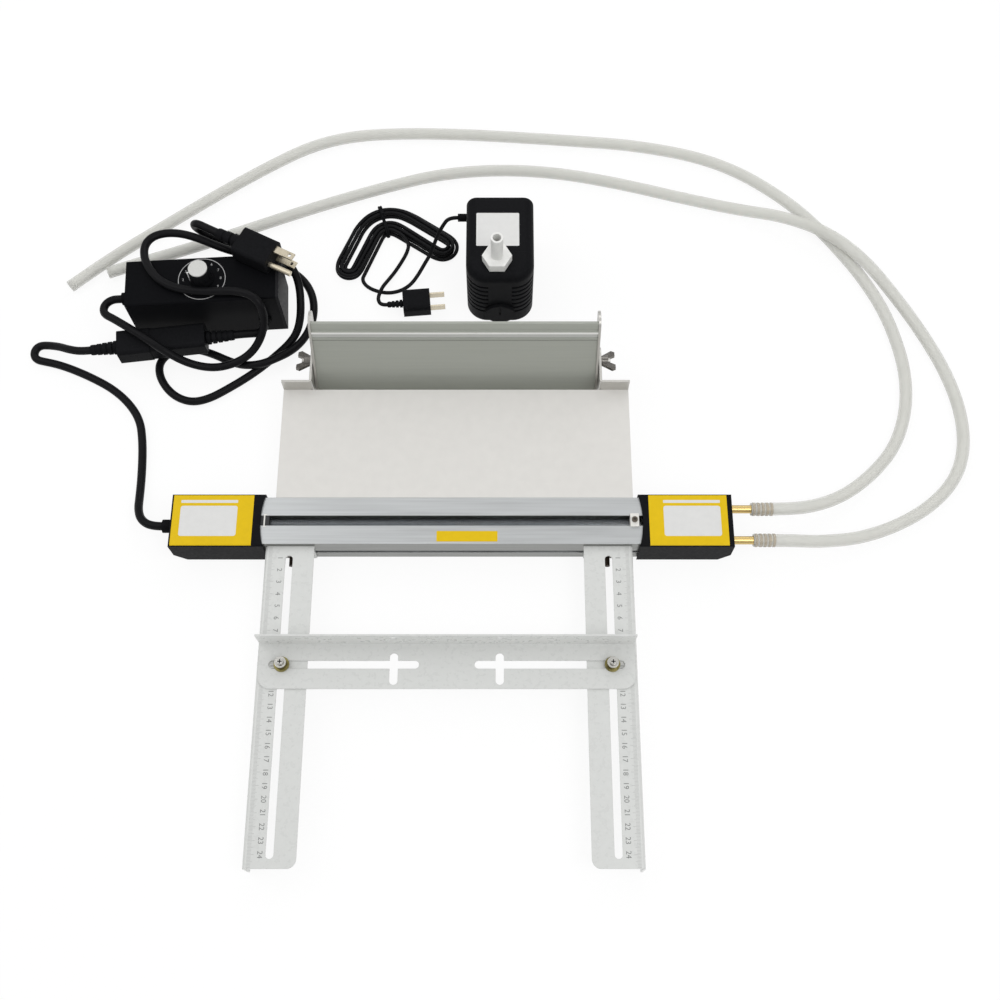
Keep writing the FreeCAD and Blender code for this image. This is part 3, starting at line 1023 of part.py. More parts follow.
front = [(hose_start, -offset, bore_z), (hose_start + 26, -offset, bore_z), (hose_start + 57, -12.4, 15),
         (hose_start + 92, -6.5, 7.5)]
front += [(hose_start + 126, 6, 5.4), (hose_start + 156, 24, 5.3), (422.5, 48, 5.4), (433.5, 77, 5.3),
          (434.5, 112, 5.4), (426.5, 149, 5.3)]
front += [(411, 187, 5.4), (391.5, 222, 7.5), (365, 256.5, 15.5), (334.5, 283, 18.2), (298, 303, 13.6),
          (258, 315.5, 6)]
front += [(205, 329.5, 5.3), (148, 345.5, 5.4), (90, 357.5, 5.3), (36, 360.5, 5.4), (-17, 355.5, 5.3),
          (-65, 341.5, 5.4)]
front += [(-115, 324.5, 5.3), (-162, 306.5, 5.4), (-205, 289, 5.3), (-243, 274, 5.4), (-276, 262.5, 5.3),
          (-304, 254.5, 5.4)]
for name, route in (("hose_rear", rear), ("hose_front", front)):
    tube, path = cord(name, route, 2 * hose_radius)
    bore = value("hose_bore / 2")
    first, second, last, final = (Vector(*route[k]) for k in (0, 1, -2, -1))
    for end, way, depth in ((first, second - first, value("barb_length + 1")), (final, last - final, 12)):
        tube = tube.cut(Part.makeCylinder(bore, depth, end, way))
    soft_node(name, tube)

DOC.recompute()
for item in DOC.Objects:
    if any(word in item.State for word in ("Invalid", "Error")):
        raise RuntimeError(f"{item.Name} failed: {item.State}")
for name, item in NODES.items():
    if item.Shape.isNull() or not item.Shape.isValid():
        raise RuntimeError(f"{name} has no valid shape")
os.makedirs("parts", exist_ok=True)
for name, item in NODES.items():
    item.Shape.exportStep(f"parts/{name}.step")
print(f"{len(NODES)} sub-parts written")
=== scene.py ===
import json
import math

import bmesh
import bpy
from mathutils import Matrix, Vector


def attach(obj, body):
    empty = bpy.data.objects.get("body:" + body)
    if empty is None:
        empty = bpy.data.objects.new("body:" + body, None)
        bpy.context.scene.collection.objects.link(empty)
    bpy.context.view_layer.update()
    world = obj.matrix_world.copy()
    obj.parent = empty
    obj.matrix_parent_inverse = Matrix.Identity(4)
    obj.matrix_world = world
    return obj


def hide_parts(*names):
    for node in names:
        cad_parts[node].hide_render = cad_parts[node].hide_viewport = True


# Looks of a desktop strip heater for bending plastic sheet. Lengths are in mm unless a heading says metres.

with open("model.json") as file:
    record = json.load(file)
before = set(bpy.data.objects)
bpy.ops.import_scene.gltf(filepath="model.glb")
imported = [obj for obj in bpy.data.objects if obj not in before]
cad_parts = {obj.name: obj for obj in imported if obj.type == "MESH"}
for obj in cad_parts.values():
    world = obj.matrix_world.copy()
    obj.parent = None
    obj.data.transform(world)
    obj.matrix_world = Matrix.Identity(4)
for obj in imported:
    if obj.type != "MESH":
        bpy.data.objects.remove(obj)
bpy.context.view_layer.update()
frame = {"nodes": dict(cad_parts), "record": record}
NODES = frame["nodes"]
SCENE = bpy.context.scene
SCENE.view_settings.view_transform = "Standard"
MM = 0.001


def metres(p):
    """Point in mm as a vector in metres."""
    return Vector(p) * MM


# Camera, fitted to the photograph.
CAMERA_SPOT, CAMERA_TILT, LENS, SENSOR = (39, -359.2, 969), 21.9, 44.82, 36
lens = bpy.data.cameras.new("camera")
lens.lens, lens.sensor_width = LENS, SENSOR
camera = bpy.data.objects.new("camera", lens)
camera.location = metres(CAMERA_SPOT)
camera.rotation_euler = (math.radians(CAMERA_TILT), 0, 0)
SCENE.collection.objects.link(camera)
SCENE.camera = camera

# Three soft lamps, placed in metres.
LAMP_AIM = Vector((0, 0.1, 0))


def lamp(name, spot, size, power):
    """Square lamp that faces the middle of the set."""
    data = bpy.data.lights.new(name, "AREA")
    data.shape, data.size, data.energy = "SQUARE", size, power
    item = bpy.data.objects.new(name, data)
    item.location = spot
    item.rotation_euler = (LAMP_AIM - Vector(spot)).to_track_quat("-Z", "Y").to_euler()
    SCENE.collection.objects.link(item)


lamp("key", (0.7, -0.5, 1.5), size=0.9, power=7.5)
lamp("fill", (-1.0, 0.3, 1.3), size=1.2, power=5.0)
lamp("back", (0.2, 1.3, 1.1), size=1.0, power=4.0)


# Helpers for shader nodes.
def set_sockets(item, **sockets):
    """Set a node's sockets by name, with _ for a space."""
    for key, number in sockets.items():
        item.inputs[key.replace("_", " ")].default_value = number


def node(tree, kind, **sockets):
    """New shader node of a kind with some sockets set."""
    item = tree.nodes.new("ShaderNode" + kind)
    set_sockets(item, **sockets)
    return item


def ramp(tree, source, *stops):
    """Colour ramp over a source; each of its two stops is (place, colour)."""
    item = node(tree, "ValToRGB")
    for element, (place, colour) in zip(item.color_ramp.elements, stops):
        element.position = place
        element.color = (*colour, 1)
    tree.links.new(source, item.inputs[0])
    return item.outputs[0]


def reckon(tree, operation, *sources):
    """Math node over sources, each an output or a plain number."""
    item = node(tree, "Math")
    item.operation = operation
    for socket, source in zip(item.inputs, sources):
        if isinstance(source, float):
            socket.default_value = source
        else:
            tree.links.new(source, socket)
    return item.outputs[0]


# Sky: plain grey, a little lighter overhead.
SKY_LOW, SKY_HIGH, SKY_REACH, SKY_STRENGTH = 0.55, 0.72, 0.8, 0.9
world = bpy.data.worlds.new("studio")
SCENE.world = world
world.use_nodes = True
tree = world.node_tree
sky = tree.nodes["Background"]
set_sockets(sky, Strength=SKY_STRENGTH)
split = node(tree, "SeparateXYZ")
tree.links.new(node(tree, "TexCoord").outputs["Generated"], split.inputs[0])
grey = ramp(tree, split.outputs["Z"], (0.0, (SKY_LOW,) * 3), (SKY_REACH, (SKY_HIGH,) * 3))
tree.links.new(grey, sky.inputs["Color"])

# Materials. Noise from LOW to HIGH leads from dark and smooth places to light and rough ones.
LOW, HIGH, SMOOTHEST, NOISE_DETAIL, RELIEF_DETAIL, EDGE_SAMPLES = 0.3, 0.7, 0.02, 5, 3, 4


def upright(tree, spot, paint, sides):
    """Paint that turns into a given colour on faces that stand upright, as painted light and shade there."""
    parts = node(tree, "SeparateXYZ")
    tree.links.new(spot.outputs["Normal"], parts.inputs[0])
    blend = node(tree, "MixRGB", Color1=(*sides, 1))
    tree.links.new(reckon(tree, "ABSOLUTE", parts.outputs["Z"]), blend.inputs["Fac"])
    tree.links.new(paint, blend.inputs["Color2"])
    return blend.outputs[0]


def relief(tree, scale, edge, bump, bump_grain):
    """Normal with softened edges and a fine relief of noise, or None where both are off."""
    normal = None
    if edge:
        soft = node(tree, "Bevel", Radius=edge)
        soft.samples = EDGE_SAMPLES
        normal = soft.outputs["Normal"]
    if bump:
        height = node(tree, "TexNoise", Scale=bump_grain, Detail=RELIEF_DETAIL)
        tree.links.new(scale.outputs[0], height.inputs["Vector"])
        lift = node(tree, "Bump", Distance=bump, Strength=1)
        tree.links.new(height.outputs[0], lift.inputs["Height"])
        if normal:
            tree.links.new(normal, lift.inputs["Normal"])
        normal = lift.outputs["Normal"]
    return normal


def surface(name, colour, rough=0.5, metal=0.0, vary=0.06, grain=300.0, rub=0.08, bump=0.0, bump_grain=900.0,
            stretch=(1, 1, 1), edge=0.0004, sides=None, **sockets):
    """Material whose colour, roughness and relief vary over the surface.

    vary and rub say how far colour and roughness stray. Grains are per metre, and stretch draws them out
    along an axis. The relief's height, bump, and the softened edge are in metres. Where a colour is given
    for upright faces, they take it as painted light and shade.
    """
    item = bpy.data.materials.new(name)
    item.use_nodes = True
    tree = item.node_tree
    link = tree.links.new
    shader = tree.nodes["Principled BSDF"]
    set_sockets(shader, Metallic=metal, **sockets)
    spot, scale = node(tree, "TexCoord"), node(tree, "Mapping", Scale=stretch)
    link(spot.outputs["Object"], scale.inputs["Vector"])
    noise = node(tree, "TexNoise", Scale=grain, Detail=NOISE_DETAIL)
    link(scale.outputs[0], noise.inputs["Vector"])
    dark, light = [c * (1 - vary) for c in colour], [min(c * (1 + vary), 1) for c in colour]
    paint = ramp(tree, noise.outputs["Fac"], (LOW, dark), (HIGH, light))
    # Upright faces take painted light and shade where a colour is given for them.
    link(upright(tree, spot, paint, sides) if sides else paint, shader.inputs["Base Color"])
    polish = node(tree, "MapRange", From_Min=LOW, From_Max=HIGH, To_Min=max(rough - rub, SMOOTHEST),
                  To_Max=min(rough + rub, 1))
    link(noise.outputs["Fac"], polish.inputs["Value"])
    link(polish.outputs[0], shader.inputs["Roughness"])
    normal = relief(tree, scale, edge, bump, bump_grain)
    if normal:
        link(normal, shader.inputs["Normal"])
    return item


# Finishes of the record's material slots.
DULL = {"Specular_IOR_Level": 0.03}
FINISHES = {
    # The bar's upright faces are painted much darker: a painted dark reflection and shade on them.
    "aluminium_bar": dict(colour=(0.54, 0.555, 0.56), rough=0.38, metal=0.85, grain=700, bump=4e-6,
                          bump_grain=2500, stretch=(0.02, 1, 1), sides=(0.27, 0.275, 0.265)),
    "quartz": dict(colour=(0.74, 0.78, 0.82), rough=0.08, vary=0.03, grain=200, rub=0.03, edge=0,
                   Transmission_Weight=0.9, IOR=1.45),
    "ceramic": dict(colour=(0.8, 0.79, 0.75), rough=0.35, vary=0.04, grain=500, bump=1e-5, bump_grain=1500),
    "dark_screw": dict(colour=(0.13, 0.11, 0.085), rough=0.32, metal=0.6, vary=0.2, grain=900, bump=8e-6,
                       bump_grain=2500),
    "black_plastic": dict(colour=(0.0088, 0.009, 0.0102), rough=0.45, vary=0.15, grain=500, bump=8e-6,
                          bump_grain=2600, **DULL),
    "black_rubber": dict(colour=(0.008, 0.008, 0.009), rough=0.55, vary=0.15, grain=500, bump=1.5e-5,
                         bump_grain=2200, **DULL),
    "bright_metal": dict(colour=(0.57, 0.56, 0.53), rough=0.34, metal=0.8, vary=0.04, grain=200, rub=0.05,
                         bump=1e-6, bump_grain=1200),
    # Upright faces of the white sheet are painted lighter, as painted light on them.
    "white_sheet": dict(colour=(0.655, 0.665, 0.65), rough=0.3, vary=0.02, grain=250, rub=0.06, bump=4e-5,
                        bump_grain=520, sides=(0.8, 0.81, 0.79)),
    # Bronze hue made very dark with painted shade, for tee bolts that sit in shade under the arms.
    "bronze_bolt": dict(colour=(0.045, 0.03, 0.02), rough=0.4, metal=0.6, vary=0.25, grain=900, bump=1e-5,
                        bump_grain=2500),
    "zinc_yellow": dict(colour=(0.3, 0.26, 0.095), rough=0.33, metal=0.85, vary=0.2, grain=500, rub=0.1,
                        bump=6e-6, bump_grain=2000),
    "brass_pipe": dict(colour=(0.62, 0.46, 0.19), rough=0.24, metal=0.95, vary=0.03, grain=200, rub=0.05,
                       stretch=(0.1, 1, 1)),
    "white_board": dict(colour=(0.7, 0.686, 0.657), vary=0.018, grain=120, rub=0.06, bump=1e-5,
                        bump_grain=1800),
    "anodised_plate": dict(colour=(0.4, 0.415, 0.375), rough=0.42, metal=0.3, vary=0.03, grain=500,
                           rub=0.06, bump=2e-6, bump_grain=2500, stretch=(0.03, 1, 1)),
    "black_metal": dict(colour=(0.0048, 0.005, 0.006), rough=0.4, vary=0.12, grain=400, rub=0.06,
                        bump=1.5e-5, bump_grain=1700, **DULL),
    "dark_grey_metal": dict(colour=(0.02, 0.02, 0.022), rough=0.45, vary=0.12, grain=400, rub=0.06,
                            bump=1.5e-5, bump_grain=1700, **DULL),
    "silver_disc": dict(colour=(0.64, 0.64, 0.62), rough=0.4, metal=0.5, vary=0.1, grain=1600, rub=0.12,
                        bump=6e-6, bump_grain=3000),
    "plug_brass": dict(colour=(0.6, 0.54, 0.42), rough=0.3, metal=0.9, rub=0.06, bump=1e-6,
                       bump_grain=1500),
    "white_plastic": dict(colour=(0.8, 0.8, 0.78), rough=0.4, vary=0.03, rub=0.05, bump=8e-6,
                          bump_grain=1800),
    "heating_wire": dict(colour=(0.34, 0.31, 0.29), rough=0.45, metal=0.8, vary=0.2, grain=900, edge=0),
    "cord_black": dict(colour=(0.006, 0.006, 0.007), rough=0.4, vary=0.15, grain=250, bump=1.2e-5,
                       bump_grain=1500, edge=0, Specular_IOR_Level=0.1),
    "silicone_hose": dict(colour=(0.79, 0.79, 0.745), rough=0.36, vary=0.02, grain=90, rub=0.06, bump=3e-6,
                          bump_grain=400, edge=0, Alpha=0.54, Specular_IOR_Level=0.3),
}
LOOKS = {slot: surface(slot, **finish) for slot, finish in FINISHES.items()}

# Finishes of printed, pressed and plated details, and of painted light and shade on small details.
LABEL_YELLOW = surface("label_yellow", (0.74, 0.5, 0.006), rough=0.45, vary=0.03, grain=200, rub=0.05,
                       bump=3e-6, bump_grain=1500, edge=0, Specular_IOR_Level=0.15)
LABEL_WHITE = surface("label_white", (0.7, 0.7, 0.69), rough=0.42, vary=0.02, grain=200, rub=0.05,
                      bump=3e-6, bump_grain=1500, edge=0)
RULER_GREY = surface("ruler_grey", (0.2, 0.205, 0.2), vary=0.15, grain=600, edge=0)
TICK_GREY = surface("tick_grey", (0.4, 0.405, 0.395), vary=0.1, grain=600, edge=0)
PRINT_WHITE = surface("print_white", (0.42, 0.42, 0.42), vary=0.12, grain=900, edge=0)
POINTER_WHITE = surface("pointer_white", (0.8, 0.8, 0.8), rough=0.4, vary=0.05, grain=900, edge=0)
# Near-black painted shade, laid in the cross recesses and along the tilting plate's dark line.
RECESS_SHADE = surface("shaded_recess", (0.006, 0.006, 0.006), rough=0.7, vary=0.2, grain=900, edge=0)
DARK_NICKEL = surface("dark_nickel", (0.2, 0.19, 0.175), rough=0.25, metal=0.9, vary=0.15, rub=0.06,
                      bump=1e-6, bump_grain=1500)
# Bright chrome on top, with upright sides painted near black as a painted dark reflection round the fence
# nuts and bolts.
CHROME = surface("chrome", (0.75, 0.74, 0.7), rough=0.12, metal=0.95, vary=0.04, rub=0.04, bump=1e-6,
                 bump_grain=1500, sides=(0.07, 0.06, 0.045))
DARK_CERAMIC = surface("dark_ceramic", (0.02, 0.021, 0.023), vary=0.15, grain=500, bump=1e-5,
                       bump_grain=1500)
RIDGE_TAN = surface("ridge_tan", (0.6, 0.53, 0.42), rough=0.4, vary=0.04, grain=200, rub=0.06, bump=3e-6,
                    edge=0, Alpha=0.42)
# A lighter band of painted light and a painted highlight, for the tilting plate's face and rib.
BAND_PAINTED_LIGHT = surface("band_painted_light", (0.56, 0.57, 0.55), rough=0.4, metal=0.3, vary=0.03, grain=500, rub=0.05,
                     bump=1e-6, bump_grain=1500, stretch=(0.03, 1, 1), edge=0)
RIB_HIGHLIGHT = surface("rib_highlight", (0.86, 0.86, 0.84), rough=0.3, metal=0.4, vary=0.04, grain=400, rub=0.06,
                     bump=1e-6, bump_grain=1500, stretch=(0.03, 1, 1), edge=0)

# Every node takes its slot's finish, and a few have one of their own.
SLOT_OF = {part["node"]: part["material_slot"] for part in frame["record"]["subparts"]}
OWN_FINISH = {"wing_nut_left": DARK_NICKEL, "wing_nut_right": DARK_NICKEL, "fence_nut_left": CHROME,
              "fence_nut_right": CHROME, "fence_bolt_left": CHROME, "fence_bolt_right": CHROME,
              "tube_clamp_left": DARK_CERAMIC}
for name, item in NODES.items():
    if not item.material_slots:
        item.data.materials.append(None)
    for slot in item.material_slots:
        slot.material = OWN_FINISH.get(name, LOOKS[SLOT_OF[name]])

# Floor: white where it is seen or mirrored, and plain matt for the light it throws back. Sizes in metres.
FLOOR_HALF, FLOOR_LEVEL, FLOOR_GREY, FLOOR_GLOW, GLOW_SHARE = 40.0, -0.0003, 0.86, 1.03, 0.86
paper = bpy.data.materials.new("floor")
paper.use_nodes = True
tree = paper.node_tree
tree.nodes.remove(tree.nodes["Principled BSDF"])
matt = node(tree, "BsdfDiffuse", Color=(FLOOR_GREY, FLOOR_GREY, FLOOR_GREY, 1))
glow = node(tree, "Emission", Strength=FLOOR_GLOW)
path = node(tree, "LightPath")
seen = reckon(tree, "MAXIMUM", path.outputs["Is Camera Ray"], path.outputs["Is Glossy Ray"])
seen = reckon(tree, "MAXIMUM", seen, path.outputs["Is Transmission Ray"])
mix = node(tree, "MixShader")
tree.links.new(reckon(tree, "MULTIPLY", seen, GLOW_SHARE), mix.inputs[0])
tree.links.new(matt.outputs[0], mix.inputs[1])
tree.links.new(glow.outputs[0], mix.inputs[2])
tree.links.new(mix.outputs[0], tree.nodes["Material Output"].inputs["Surface"])
flat = bpy.data.meshes.new("floor")
corners = ((-1, -1), (1, -1), (1, 1), (-1, 1))
flat.from_pydata([(x * FLOOR_HALF, y * FLOOR_HALF, FLOOR_LEVEL) for x, y in corners], [], [(0, 1, 2, 3)])
flat.materials.append(paper)
floor = bpy.data.objects.new("floor", flat)
SCENE.collection.objects.link(floor)

# Helpers that make small pieces.
CORNER_STEPS, FIGURE_RISE = 6, 0.02


def place(name, verts, faces, look, body, turn=None):
    """Mesh piece from points in mm that rides on a body."""
    mesh = bpy.data.meshes.new(name)
    mesh.from_pydata([metres(v) for v in verts], [], faces)
    if turn is not None:
        mesh.transform(turn)
    mesh.materials.append(look)
    mesh.update()
    item = bpy.data.objects.new(name, mesh)
    SCENE.collection.objects.link(item)
    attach(item, body)
    return item


def blocks(name, boxes, look, body, turn=None):
    """Many small blocks as one piece: each is (x0, x1, y0, y1, z0, z1)."""
    verts, faces = [], []
    for x0, x1, y0, y1, z0, z1 in boxes:
        base = len(verts)
        verts += [(x, y, z) for z in (z0, z1) for x, y in ((x0, y0), (x1, y0), (x1, y1), (x0, y1))]
        for quad in ((3, 2, 1, 0), (4, 5, 6, 7), (0, 1, 5, 4), (1, 2, 6, 5), (2, 3, 7, 6), (3, 0, 4, 7)):
            faces.append([base + k for k in quad])
    place(name, verts, faces, look, body, turn)


def plate(name, x, y, z, radius, look, thick):
    """Thin plate with round corners that lies at height z on the machine."""
    outline = []
    for cx, cy, start in ((x[1] - radius, y[1] - radius, 0), (x[0] + radius, y[1] - radius, 90),
                          (x[0] + radius, y[0] + radius, 180), (x[1] - radius, y[0] + radius, 270)):
        for k in range(CORNER_STEPS + 1):
            a = math.radians(start + 90 / CORNER_STEPS * k)
            outline.append((cx + radius * math.cos(a), cy + radius * math.sin(a)))
    n = len(outline)
    verts = [(px, py, z) for px, py in outline] + [(px, py, z + thick) for px, py in outline]
    faces = [list(range(n))[::-1], list(range(n, 2 * n))]
    faces += [[k, (k + 1) % n, n + (k + 1) % n, n + k] for k in range(n)]
    place(name, verts, faces, look, "machine")


def figures(name, marks, look, body, turn=None):
    """Plain numbers as one flat piece: each mark is (text, x, y, z, size, angle)."""
    whole = bmesh.new()
    for text, x, y, z, size, angle in marks:
        data = bpy.data.curves.new(name, "FONT")
        data.body, data.size, data.align_x, data.align_y = text, size * MM, "CENTER", "CENTER"
        data.extrude = FIGURE_RISE * MM
        data.resolution_u = 3
        item = bpy.data.objects.new(name, data)
        SCENE.collection.objects.link(item)
        bpy.context.view_layer.update()
        mesh = bpy.data.meshes.new_from_object(item.evaluated_get(bpy.context.evaluated_depsgraph_get()))
        mesh.transform(Matrix.Translation(metres((x, y, z))) @ Matrix.Rotation(math.radians(angle), 4, "Z"))
        whole.from_mesh(mesh)
        bpy.data.objects.remove(item)
        bpy.data.curves.remove(data)
        bpy.data.meshes.remove(mesh)
    mesh = bpy.data.meshes.new(name)
    whole.to_mesh(mesh)
    whole.free()
    if turn is not None:
        mesh.transform(turn)
    mesh.materials.append(look)
    item = bpy.data.objects.new(name, mesh)
    SCENE.collection.objects.link(item)
    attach(item, body)


def line(name, points, dia, look, body="machine", rounding=8):
    """Smooth round line that follows control points; each point's radius scales a bevel of one metre."""
    curve = bpy.data.curves.new(name, "CURVE")
    curve.dimensions = "3D"
    curve.bevel_depth = 1.0
    curve.bevel_resolution = rounding
    curve.use_fill_caps = True
    curve.resolution_u = 8
    spline = curve.splines.new("NURBS")
    spline.points.add(len(points) - 1)
    for k, p in enumerate(points):
        spline.points[k].co = (*metres(p), 1)
        spline.points[k].radius = dia / 2 * MM
    spline.order_u = 3
    spline.use_endpoint_u = True
    curve.materials.append(look)
    item = bpy.data.objects.new(name, curve)
    SCENE.collection.objects.link(item)
    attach(item, body)
    return item


# Cords and hoses, laid on the routes of the solids: thicknesses, and where the pipes and the controller are.
# The matrix BOX is in metres.
CORD, THIN, HOSE, HOSE_WALL, PIPE_ASIDE, PIPE_LEVEL, BOX_TURN = 7.0, 3.4, 10.5, 1.35, 13.5, 21.5, 3.6
BOX = Matrix.Translation((-0.2151, 0.2112, 0)) @ Matrix.Rotation(math.radians(BOX_TURN), 4, "Z")


def on_box(x, y, z):
    """Point of the controller, given in its own axes."""
    return tuple(BOX @ metres((x, y, z)) / MM)


def on_fitting(spot, turn, along):
    """Point on the axis of a fitting that lies at a spot, turned by degrees."""
    turn = math.radians(turn)
    return (spot[0] + along * math.cos(turn), spot[1] + along * math.sin(turn), spot[2])


# Fittings that cords end in, each as its place and turn.
PLUG, COUPLER, SMALL_PLUG = ((-183, 241, 64.4), -27), ((-290, 164.5, 20), 7), ((-47, 215.4, 7.7), 5)

# Mains lead: from the controller, through its loops, to the plug.
mains = [
    on_box(-74, 0, 30), on_box(-76, 0, 30), (-297.5, 205.9, 30.1), (-302.5, 201.7, 30.8),
    (-304, 195.3, 31.9), (-301.5, 189.3, 33.1), (-293, 184, 35), (-281, 176, 36.4), (-264, 165, 36.6),
    (-247, 154, 33), (-230, 149, 20), (-211, 148.5, 11.5), (-193, 151.5, 12.4), (-177, 158.5, 17.5),
    (-166.5, 168, 28), (-161, 178.5, 43), (-163, 186, 58), (-172, 193, 61.5), (-186, 196.8, 59.5),
    (-202, 196.6, 59), (-220, 197, 59), (-238, 200.5, 59), (-251, 208, 59), (-260, 219, 59.3),
    (-265.5, 231, 58.8), (-266.5, 243, 58), (-261, 252, 57.5), (-250, 256.2, 57), (-236, 255.6, 57),
    (-221, 251.5, 55.5), (-206, 246.5, 51.5), (-192, 244.2, 46), (-177, 243.4, 42), (-162, 244, 39),
    (-148, 241.4, 36), (-140.5, 232.5, 33), (-136.5, 221, 28), (-135.5, 208, 21), (-136.5, 196, 13),
    (-140, 186, 6.5), (-146.5, 177, 3.7), (-156, 166.5, 3.6), (-168, 154.5, 3.7), (-182, 143, 3.6),
    (-197, 132.5, 3.7), (-211.5, 123.5, 3.6), (-226, 119.5, 3.7), (-240, 124, 3.6), (-251, 134, 3.7),
    (-258, 147, 3.6), (-258.5, 159, 3.7), (-250.5, 168.5, 3.6), (-238, 172, 3.7), (-225, 171, 3.6),
    (-212, 166.5, 3.7), (-199.5, 160.5, 3.6), (-188, 155.5, 5), (-177.5, 152.5, 9.5), (-166, 153, 12),
    (-155, 158.5, 11.6), (-145, 166, 8.5), (-137, 176, 5), (-130.5, 188, 3.7), (-127, 201, 3.6),
    (-126.5, 214, 3.7), (-129, 227, 3.6), (-135, 238.5, 4.4), (-145, 247.5, 6.5), (-157, 252, 11),
    (-169, 254, 17.5), (-181, 255.5, 24.5), (-192, 257.5, 31), (-203, 260, 36.3), (-213.5, 262.5, 41.7),
    (-223.4, 265.2, 47.4), (-226.3, 265.1, 53.7), (-225.3, 263.2, 60.3), (-220.8, 260.4, 64.3),
    on_fitting(*PLUG, -36), on_fitting(*PLUG, -29), on_fitting(*PLUG, -22)
]

# Output lead: from the connectors to the controller. Heater lead: from the left cap to the connectors.
output = [on_fitting(*COUPLER, along) for along in (90, 99, 106)]
output += [(-177.3, 178, 20), (-170.3, 178.2, 20.1), on_box(48, -30.6, 20), on_box(48, -24, 20)]
heater = [
    (-236, 0, 18), (-246, 0, 18), (-255.5, 6.5, 15.5), (-260, 17, 11.5), (-261.5, 30, 6.6),
    (-262.6, 46, 3.7), (-263.6, 64, 3.6), (-265.5, 83, 3.7), (-269.5, 102, 3.6), (-280.5, 118.5, 3.7),
    (-297, 133, 3.6), (-318, 144.5, 3.7), (-336, 152.5, 3.6), (-348, 156.6, 3.7), (-357.2, 158.7, 3.8),
    (-366, 160.6, 4), (-369.1, 165.2, 4.6), (-368, 170.7, 5.4), (-363.4, 173.8, 6.4), (-354.5, 172.3, 9),
    (-344, 168.8, 13), (-334.5, 163.8, 17.5), on_fitting(*COUPLER, -33), on_fitting(*COUPLER, -24)
]

# The pump's cord: down to the hank, round its loops in two layers, and on to the small plug.
# The hank's middle line is a straight, a bend and a straight. Each loop runs along both of its sides.
TIP, LEFT, RIGHT, BEND = Vector((-97, 256, 0)), 40.0, 44.0, 22.0
HEAD, TURN, QUARTER = math.radians(68), math.radians(103), math.pi / 2
SPINE = LEFT + BEND * TURN + RIGHT
LOOPS, NARROW, STRAND_PITCH, FLOOR_GAP, CLIMB = 3, 3.6, 3.9, 0.05, 0.5
FAR_END, WAY_BACK, NEAR_END, RUN_SHARE, END_SHARE = 0.4, 0.5, 0.9, 0.4, 0.1
LEAD_IN, LEAD_OUT, LAST_SHARE, CLOSE, NUDGE = 7, 6, 0.2667, 0.01, 0.002


def facing(angle):
    """Level unit vector at an angle from +X."""
    return Vector((math.cos(angle), math.sin(angle), 0))


def spine(s):
    """Point and heading on the hank's middle line at the distance s."""
    hub = TIP + facing(HEAD) * LEFT + facing(HEAD - QUARTER) * BEND
    if s <= LEFT:
        return TIP + facing(HEAD) * s, HEAD
    turn = (s - LEFT) / BEND
    if turn <= TURN:
        return hub + facing(HEAD + QUARTER - turn) * BEND, HEAD - turn
    away = HEAD - TURN
    return hub + facing(away + QUARTER) * BEND + facing(away) * (s - LEFT - BEND * TURN), away


def hank_spot(t):
    """Point on the hank after t loops: inwards on the lower layer, then outwards on the upper one."""
    share, rising = t % 1, min(max((t - LOOPS) / CLIMB + 0.5, 0), 1)
    width = NARROW + STRAND_PITCH * abs(t - LOOPS)
    height = THIN / 2 + FLOOR_GAP + STRAND_PITCH * rising * rising * (3 - 2 * rising)
    if share < FAR_END:
        spot, way = spine(SPINE * share / RUN_SHARE)
        aside = -facing(way + QUARTER)
    elif share < WAY_BACK:
        spot, way = spine(SPINE)
        turn = (share - FAR_END) / END_SHARE * math.pi
        aside = facing(way) * math.sin(turn) - facing(way + QUARTER) * math.cos(turn)
    elif share < NEAR_END:
        spot, way = spine(SPINE * (1 - (share - WAY_BACK) / RUN_SHARE))
        aside = facing(way + QUARTER)
    else:
        spot, way = spine(0)
        turn = (share - NEAR_END) / END_SHARE * math.pi
        aside = facing(way + QUARTER) * math.cos(turn) - facing(way) * math.sin(turn)
    return spot + aside * width + Vector((0, 0, height))


RUN_STEPS, END_STEPS = [0.0333 * k for k in range(12)], [0.02 * k for k in range(5)]
STATIONS = [start + step for start, steps in ((0, RUN_STEPS), (FAR_END, END_STEPS), (WAY_BACK, RUN_STEPS),
                                              (NEAR_END, END_STEPS)) for step in steps]
HANK_END = 2 * LOOPS - 1 + LAST_SHARE
turns = [k + f for k in range(2 * LOOPS) for f in STATIONS if k + f < HANK_END - CLOSE]
turns.append(HANK_END)
hank = [tuple(hank_spot(t)) for t in turns]
into = (hank_spot(NUDGE) - hank_spot(0)).normalized()
out = (hank_spot(HANK_END) - hank_spot(HANK_END - NUDGE)).normalized()
pump = [
    (2, 280, 45), (-6, 280, 45), (-11.5, 276.5, 38.5), (-17, 271.5, 29), (-20.5, 267.5, 19.5),
    (-24, 263, 12), (-29, 255, 9.4), (-34.5, 246, 6), (-41, 238, 2.6), (-49.9, 231.9, 1.8),
    (-61.5, 229.3, 1.8), (-73.3, 232, 1.8), (-81.5, 237, 1.8), tuple(Vector(hank[0]) - into * LEAD_IN),
    *hank,
    tuple(Vector(hank[-1]) + out * LEAD_OUT), (-43.6, 279.5, 4.6), (-45.5, 271, 3.2), (-50.5, 261.5, 1.9),
    (-56, 251.5, 1.8), (-61.5, 242.5, 3), (-66, 234, 5.8), (-68.8, 226.5, 6), (-69.8, 219.6, 6.6),
    on_fitting(*SMALL_PLUG, -19.4), on_fitting(*SMALL_PLUG, -14)
]

